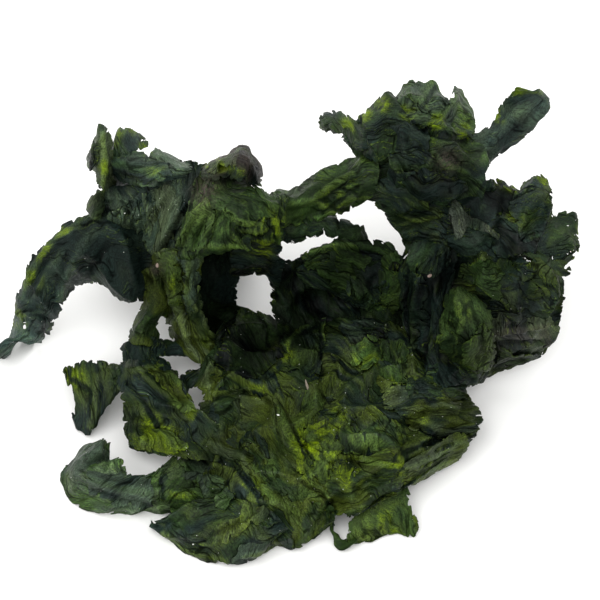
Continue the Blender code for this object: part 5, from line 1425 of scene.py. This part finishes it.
def driedAlga():
    # dried green alga, air-dried in the open: a satin, leathery skin in long creased plates, thin
    # enough for light to come through in yellow-green where it is young
    material, tree, shader = newMaterial("air-dried_sea_lettuce")
    output = tree.nodes["Material Output"]
    tint = addNode(tree, "ShaderNodeAttribute", {"attribute_name": "tint"})
    marks = addNode(tree, "ShaderNodeAttribute", {"attribute_name": "marks"})
    parts = addNode(tree, "ShaderNodeSeparateColor", None, {"Color": marks.outputs["Color"]})
    bright, height, toRim = parts.outputs
    # light is the painted shade and light, halved; it scales the gloss and keeps yellow-green out of the
    # caves
    brown, light = marks.outputs["Alpha"], tint.outputs["Alpha"]
    grain = addNode(tree, "ShaderNodeAttribute", {"attribute_name": "grain"}).outputs["Vector"]

    def vectors(operation, first, second):
        return addNode(
            tree, "ShaderNodeVectorMath", {"operation": operation}, {0: first, 1: second}
        ).outputs[0]

    def spaced(vector, along, aside):
        return vectors("MULTIPLY", vector, (1 / along, 1 / aside, 1.0))

    def noise(name, detail=3.0, roughness=0.6):
        inputs = {"Scale": 1.0, "Detail": detail, "Roughness": roughness}
        inputs["Vector"] = spaced(grain, *skin[name])
        return addNode(tree, "ShaderNodeTexNoise", None, inputs).outputs["Fac"]

    def between(value, low, high, start=0.0, end=1.0):
        inputs = {"Value": value, "From Min": low, "From Max": high, "To Min": start, "To Max": end}
        return addNode(
            tree, "ShaderNodeMapRange", {"interpolation_type": "SMOOTHSTEP"}, inputs
        ).outputs["Result"]

    def maths(operation, first, *others):  # more than two values are taken in turn
        if not others:
            return mathOf(tree, operation, first)
        for other in others:
            first = mathOf(tree, operation, first, other)
        return first

    def plates(name):  # 0 on the creases between long plates of skin, more inside them
        inputs = {"Vector": spaced(vectors("ADD", grain, sway), *skin[name]), "Scale": 1.0}
        return addNode(
            tree, "ShaderNodeTexVoronoi", {"feature": "DISTANCE_TO_EDGE"}, inputs
        ).outputs["Distance"]

    def threads(value, thin):  # 1 along the thin lines where a noise passes its middle
        return between(maths("ABSOLUTE", maths("SUBTRACT", value, 0.5)), 0.0, thin, 1.0, 0.0)

    mottle, fibre = noise("mottle", 4.0), noise("fibre", 5.0, 0.7)
    speckle, grit = noise("speckle"), noise("grit", 2.0)
    swaying = addNode(tree, "ShaderNodeTexNoise", None, {"Vector": grain, "Scale": 0.3, "Detail": 3.0})
    centred = vectors("SUBTRACT", swaying.outputs["Color"], (0.5, 0.5, 0.5))
    sway = vectors("MULTIPLY", centred, skin["sway"])

    # the creases between the plates, which get painted shade and less gloss, and the thin lines, which get
    # painted highlights
    wide, narrow = plates("widePlate"), plates("narrowPlate")
    creased = between(noise("creased"), 0.38, 0.6)
    wrinkled = between(noise("wrinkled", 2.0), 0.47, 0.62)
    wideGroove = maths("MULTIPLY", between(wide, 0.01, 0.05, 0.85, 0.0), creased)
    narrowGroove = maths("MULTIPLY", between(narrow, 0.02, 0.09, 0.75, 0.0), wrinkled)
    wrinkle = maths("MAXIMUM", wideGroove, narrowGroove)
    squiggle = threads(noise("squiggle", 4.0, 0.65), 0.045)
    drawnOut = between(noise("drawnOut", 2.0), 0.46, 0.6)
    ridgeLine = maths("MULTIPLY", threads(noise("ridgeLine", 3.0, 0.6), 0.022), drawnOut)
    fineLine = maths("MULTIPLY", threads(noise("fineLine", 2.0), 0.06), between(mottle, 0.46, 0.6))

    # yellow-green in patches, squiggles, ridge lines and at the rims, but not in the caves where painted
    # shade darkens it
    nearRim = maths("MULTIPLY", between(toRim, 0.0, 0.16, 1.0, 0.0), between(mottle, 0.52, 0.64))
    streaked, raised = between(fibre, 0.36, 0.62, 0.4, 0.85), between(height, 0.25, 0.7, 0.45, 1.0)
    patch = maths("MULTIPLY", bright, streaked, raised)
    curls = maths("MULTIPLY", squiggle, between(bright, 0.03, 0.3), 0.6)
    rims, ridges = maths("MULTIPLY", nearRim, 0.14), maths("MULTIPLY", ridgeLine, 0.12)
    yellow = maths("MAXIMUM", patch, curls, rims, ridges)
    yellow = maths("MULTIPLY", yellow, between(light, 0.12, 0.4))
    colour = mixColours(tree, yellow, tint.outputs["Color"], linear(toneColours["lime"]))
    browned = maths("MULTIPLY", brown, between(speckle, 0.3, 0.6))
    colour = mixColours(tree, browned, colour, linear(toneColours["umber"]))

    # painted shade in the creases and the gutters, painted highlights along the thin lines, and lighter
    # along the fibres
    fibres, gutters = between(fibre, 0.36, 0.64, 0.92, 1.22), between(height, 0.1, 0.75, 0.7, 1.12)
    paintedCreaseShade = maths("SUBTRACT", 1.0, maths("MULTIPLY", wrinkle, 0.93))
    lines = maths("ADD", maths("MULTIPLY", ridgeLine, 0.9), maths("MULTIPLY", fineLine, 0.75))
    gritAndPaintedHighlights = maths("ADD", lines, between(grit, 0.3, 0.7, 0.36, 1.5))
    shaded = maths("MULTIPLY", fibres, gutters, paintedCreaseShade, gritAndPaintedHighlights)
    scaled = addNode(tree, "ShaderNodeVectorMath", {"operation": "SCALE"}, {0: colour, "Scale": shaded})
    tree.links.new(scaled.outputs[0], shader.inputs["Base Color"])
    tree.links.new(between(speckle, 0.25, 0.75, 0.36, 0.66), shader.inputs["Roughness"])
    # less gloss where painted shade darkens the blade and in the creases
    gloss = maths("MULTIPLY", light, maths("SUBTRACT", 0.23, maths("MULTIPLY", wrinkle, 0.21)))
    tree.links.new(gloss, shader.inputs["Specular IOR Level"])

    plate = maths("MULTIPLY", between(wide, 0.0, 0.3), creased)
    plate = maths("ADD", plate, maths("MULTIPLY", between(narrow, 0.0, 0.35, 0.0, 0.45), wrinkled))
    relief = maths("ADD", maths("MULTIPLY", fibre, 0.4), maths("MULTIPLY", speckle, 0.3))
    relief = maths("ADD", relief, maths("ADD", plate, maths("MULTIPLY", ridgeLine, 0.5)))
    rising = {"Height": relief, "Strength": 0.9, "Distance": skin["relief"] * mm}
    bump = addNode(tree, "ShaderNodeBump", None, rising)
    tree.links.new(bump.outputs["Normal"], shader.inputs["Normal"])
    through = {"Color": linear(toneColours["through"])}
    glow = addNode(tree, "ShaderNodeBsdfTranslucent", None, through).outputs[0]
    mixed = {0: maths("MULTIPLY", yellow, 0.5), 1: shader.outputs[0], 2: glow}
    mix = addNode(tree, "ShaderNodeMixShader", None, mixed)
    tree.links.new(mix.outputs[0], output.inputs["Surface"])
    return material


def shellsOf(name, spec, order):  # the blade and all the layers on it, as closed shells
    look = dict(bladeLooks["usual"], **bladeLooks.get(name, {}))
    look["cell"] = look["cell"] * 1
    parts = [baseSheet(name, spec, order, look)]
    for number, lap in enumerate(laps.get(name, [])):
        parts.append(lapSheet(name, spec, order, number, lap, look))
    length, width = sizeOf(spec)
    for number in range(round(look["layers"] * length * width / scraps["areaEach"])):
        parts.append(tornScrap(name, spec, order, number, look))
    return [thickened(*part) for part in parts if part is not None]


alga = driedAlga()
pieces = []
surfacePoints = {}
triangles = 0
mostTriangles = 150000  # in a blade that is one piece with its layers
for order, (name, spec) in enumerate(blades.items()):
    shells = shellsOf(name, spec, order)
    groups = {name: shells}
    if sum(len(faces) for _, faces in shells) > mostTriangles:
        groups = {name: shells[:1], name + "_layers": shells[1:]}
    for title, group in groups.items():
        starts = np.cumsum([0] + [len(values) for values, _ in group])
        values = np.concatenate([values for values, _ in group])
        faces = np.concatenate([faces + start for (_, faces), start in zip(group, starts)])
        pieces.append(makePiece(title, values, faces, alga))
        surfacePoints[title] = values[:, :3]
        triangles += len(faces)
        print(title, len(faces), "triangles")
print("blades:", triangles, "triangles")


def plainMaterial(name, colour, roughness, through=0.0):
    material, tree, shader = newMaterial(name)
    place = addNode(tree, "ShaderNodeTexCoord").outputs["Object"]
    grain = addNode(tree, "ShaderNodeTexNoise", None, {"Vector": place, "Scale": 1 / (0.4 * mm)})
    darker = [0.6 * c for c in linear(colour)[:3]] + [1.0]
    mottled = mixColours(tree, grain.outputs["Fac"], darker, linear(colour))
    tree.links.new(mottled, shader.inputs["Base Color"])
    shader.inputs["Roughness"].default_value = roughness
    shader.inputs["Subsurface Weight"].default_value = through
    return material


salt = {
    "size": 0.15,
    "block": (1.0, 0.8, 0.7),  # a crystal's sides over its size
    "sizes": (0.5, 1.3),
    "turn": 6.28,
    "density": {  # crystals for each square millimetre
        "shoulder": 0.03,
        "left_arm": 0.012,
        "broad_sheet": 0.016,
        "lower_left_arm": 0.015,
        "bottom_lobe": 0.02,
        "right_blade": 0.01,
        "right_arm": 0.01,
        "folded_leaf": 0.015,
    },
}


def saltTree():
    # small crystals scattered over a surface, each turned and sized by chance
    tree = bpy.data.node_groups.new("scattered_salt", "GeometryNodeTree")
    for title, kind, default in (
        ("Geometry", "NodeSocketGeometry", None),
        ("Density", "NodeSocketFloat", 1.0),
        ("Crystal Size", "NodeSocketFloat", 1.0),
        ("Seed", "NodeSocketInt", 0),
        ("Material", "NodeSocketMaterial", None),
    ):
        socket = tree.interface.new_socket(title, in_out="INPUT", socket_type=kind)
        if default is not None:
            socket.default_value = default
    tree.interface.new_socket("Geometry", in_out="OUTPUT", socket_type="NodeSocketGeometry")
    given = addNode(tree, "NodeGroupInput").outputs
    points = addNode(
        tree,
        "GeometryNodeDistributePointsOnFaces",
        None,
        {"Mesh": given["Geometry"], "Density": given["Density"], "Seed": given["Seed"]},
    )
    crystal = addNode(tree, "GeometryNodeMeshCube", None, {"Size": salt["block"]})
    turned = {"Seed": given["Seed"], 1: (salt["turn"],) * 3}
    turn = addNode(tree, "FunctionNodeRandomValue", {"data_type": "FLOAT_VECTOR"}, turned)
    least, most = salt["sizes"]
    sized = {"Seed": given["Seed"], 2: least, 3: most}
    size = addNode(tree, "FunctionNodeRandomValue", {"data_type": "FLOAT"}, sized)
    placed = addNode(
        tree,
        "GeometryNodeInstanceOnPoints",
        None,
        {
            "Points": points.outputs["Points"],
            "Instance": crystal.outputs["Mesh"],
            "Rotation": turn.outputs[0],
            "Scale": mathOf(tree, "MULTIPLY", size.outputs[1], given["Crystal Size"]),
        },
    )
    real = addNode(tree, "GeometryNodeRealizeInstances", None, {"Geometry": placed.outputs[0]})
    coat = {"Geometry": real.outputs[0], "Material": given["Material"]}
    coated = addNode(tree, "GeometryNodeSetMaterial", None, coat)
    addNode(tree, "NodeGroupOutput", None, {"Geometry": coated.outputs[0]})
    return tree


def saltOn(mesh, inputs):  # the crystals on a mesh, as a plain mesh of their own
    holder = bpy.data.objects.new("holder", mesh)
    bpy.context.scene.collection.objects.link(holder)
    modifier = holder.modifiers.new("salt", "NODES")
    modifier.node_group = scatter
    for item in scatter.interface.items_tree:
        if item.in_out == "INPUT" and item.name in inputs:
            modifier[item.identifier] = inputs[item.name]
    holder.update_tag()
    bpy.context.view_layer.update()
    evaluated = holder.evaluated_get(bpy.context.evaluated_depsgraph_get())
    crystals = bpy.data.meshes.new_from_object(evaluated)
    bpy.data.objects.remove(holder)
    return crystals


def joined(name, meshes, material):  # one plain mesh of many
    points, faces, start = [], [], 0
    for mesh in meshes:
        places = np.zeros(3 * len(mesh.vertices), dtype=np.float32)
        mesh.vertices.foreach_get("co", places)
        points.append(places.reshape(-1, 3))
        faces.extend([start + k for k in polygon.vertices] for polygon in mesh.polygons)
        start += len(mesh.vertices)
        bpy.data.meshes.remove(mesh)
    whole = bpy.data.meshes.new(name)
    whole.from_pydata(np.concatenate(points).tolist(), [], faces)
    whole.materials.append(material)
    piece = bpy.data.objects.new(name, whole)
    bpy.context.scene.collection.objects.link(piece)
    return piece


scatter = saltTree()
seaSalt = plainMaterial("dried_sea_salt_crystals", "#d8dccf", 0.35, 0.2)
bladeMeshes = {piece.name: piece.data for piece in pieces}
scattered = []
for seed, (name, density) in enumerate(salt["density"].items()):
    for title in (name, name + "_layers"):
        if title in bladeMeshes:
            inputs = {"Density": density / mm**2, "Crystal Size": salt["size"] * mm, "Seed": seed}
            scattered.append(saltOn(bladeMeshes[title], dict(inputs, Material=seaSalt)))
pieces.append(joined("salt_crystals", scattered, seaSalt))
print("salt crystals:", len(pieces[-1].data.polygons), "faces")

crumbs = {  # the colour, then where each shows as (across, up), its length, width, height and turn
    "shell_crumb": ("#87746a", [((-35.7, 8.4), 1.4, 0.9, 0.6, 70), ((32.3, 6.4), 1.1, 0.7, 0.5, 20)]),
    "bark_sliver": ("#7c7264", [((1.8, -21.4), 3.6, 0.55, 0.5, 105)]),
    "salt_grain": (
        "#dfe2da",
        [
            ((-5.5, -28.3), 0.7, 0.4, 0.3, -15),
            ((-27, -61.2), 0.5, 0.3, 0.3, 0),
            ((-43.7, 21.4), 0.35, 0.3, 0.3, 0),
        ],
    ),
}


def crumb(place, size, turn, seed):  # a small lumpy grain lying on what shows there
    bladePoints = np.concatenate(list(surfacePoints.values()))
    across, up = picturePlace(bladePoints)
    near = bladePoints[np.hypot(across - place[0], up - place[1]) < 0.45]
    resting = near[(near @ toViewer).argmax()] + 0.15 * toViewer
    around, down = np.linspace(0, 2 * math.pi, 15)[:-1], np.linspace(0, math.pi, 9)[1:-1]
    around, down = np.meshgrid(around, down)
    lumps = 1 + 0.25 * noiseOf(seed)(2 * np.cos(around) + 9, 2 * np.sin(around) + 3 * down)
    ball = np.stack([np.sin(down) * np.cos(around), np.sin(down) * np.sin(around), np.cos(down)], -1)
    ball = (ball * lumps[..., None]).reshape(-1, 3)
    ball = np.concatenate([ball, [[0, 0, 1.0], [0, 0, -1.0]]]) * np.array(size) / 2
    a = math.radians(turn)
    lengthwise = math.cos(a) * rightward + math.sin(a) * pictureUp
    sideways = math.cos(a) * pictureUp - math.sin(a) * rightward
    points = resting + ball @ np.stack([lengthwise, sideways, toViewer])
    rows, columns = around.shape
    top, bottom, last = rows * columns, rows * columns + 1, (rows - 1) * columns
    pairs = [(j, (j + 1) % columns) for j in range(columns)]
    faces = []
    for low in range(0, last, columns):
        high = low + columns
        faces.extend([low + j, high + j, high + k, low + k] for j, k in pairs)
    for j, k in pairs:
        faces.append([top, j, k])
        faces.append([bottom, last + k, last + j])
    mesh = bpy.data.meshes.new("crumb")
    mesh.from_pydata(((points - settled) * mm).tolist(), [], faces)
    return mesh


for number, (name, (colour, places)) in enumerate(crumbs.items()):
    grains = [crumb(place, size, turn, 10 * number + k) for k, (place, *size, turn) in enumerate(places)]
    pieces.append(joined(name, grains, plainMaterial(name + "_surface", colour, 0.7)))
print("crumbs:", len(crumbs), "kinds")

for piece in pieces:
    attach(piece, "root")
    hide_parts("sea_lettuce")


studio = {
    "floorSize": 3.0,  # metres from the middle to each side
    "paper": "#f4f4f2",
    "sky": 0.84,
    "sensor": 36.0,
}
lights = {  # azimuth from the front, rightward, and elevation; distance and size in metres; power
    "key": (-40, 60, 1.0, 0.9, 7.9),
    "fill": (60, 50, 1.2, 1.0, 2.6),
    "back": (170, 50, 1.1, 0.6, 4.5),
}


def paleFloor():
    size = studio["floorSize"]
    mesh = bpy.data.meshes.new("floor")
    corners = [(-size, -size, 0), (size, -size, 0), (size, size, 0), (-size, size, 0)]
    mesh.from_pydata(corners, [], [(0, 1, 2, 3)])
    material, _, shader = newMaterial("matt_white_paper")
    shader.inputs["Base Color"].default_value = linear(studio["paper"])
    shader.inputs["Roughness"].default_value = 0.9
    mesh.materials.append(material)
    floor = bpy.data.objects.new("floor", mesh)
    bpy.context.scene.collection.objects.link(floor)


def addLight(name, azimuth, elevation, distance, size, power):
    a, e = math.radians(azimuth), math.radians(elevation)
    data = bpy.data.lights.new(name, "AREA")
    data.size = size
    data.energy = power
    light = bpy.data.objects.new(name, data)
    place = np.array([math.sin(a) * math.cos(e), -math.cos(a) * math.cos(e), math.sin(e)]) * distance
    light.location = place
    light.rotation_euler = (math.pi / 2 - e, 0, a)
    bpy.context.scene.collection.objects.link(light)


def addCamera():
    data = bpy.data.cameras.new("camera")
    camera = bpy.data.objects.new("camera", data)
    data.sensor_width = studio["sensor"]
    data.lens = studio["sensor"] * view["distance"] / view["across"]
    data.clip_start = 0.01
    camera.location = (eye - settled) * mm
    camera.rotation_euler = (math.pi / 2 - view["elevation"], 0, 0)
    bpy.context.scene.collection.objects.link(camera)
    bpy.context.scene.camera = camera


paleFloor()
for name, placing in lights.items():
    addLight(name, *placing)
world = bpy.data.worlds.new("studio")
bpy.context.scene.world = world
world.use_nodes = True
world.node_tree.nodes["Background"].inputs["Color"].default_value = (1, 1, 1, 1)
world.node_tree.nodes["Background"].inputs["Strength"].default_value = studio["sky"]
addCamera()
bpy.context.scene.view_settings.view_transform = "Standard"
print("stage, lights and camera")
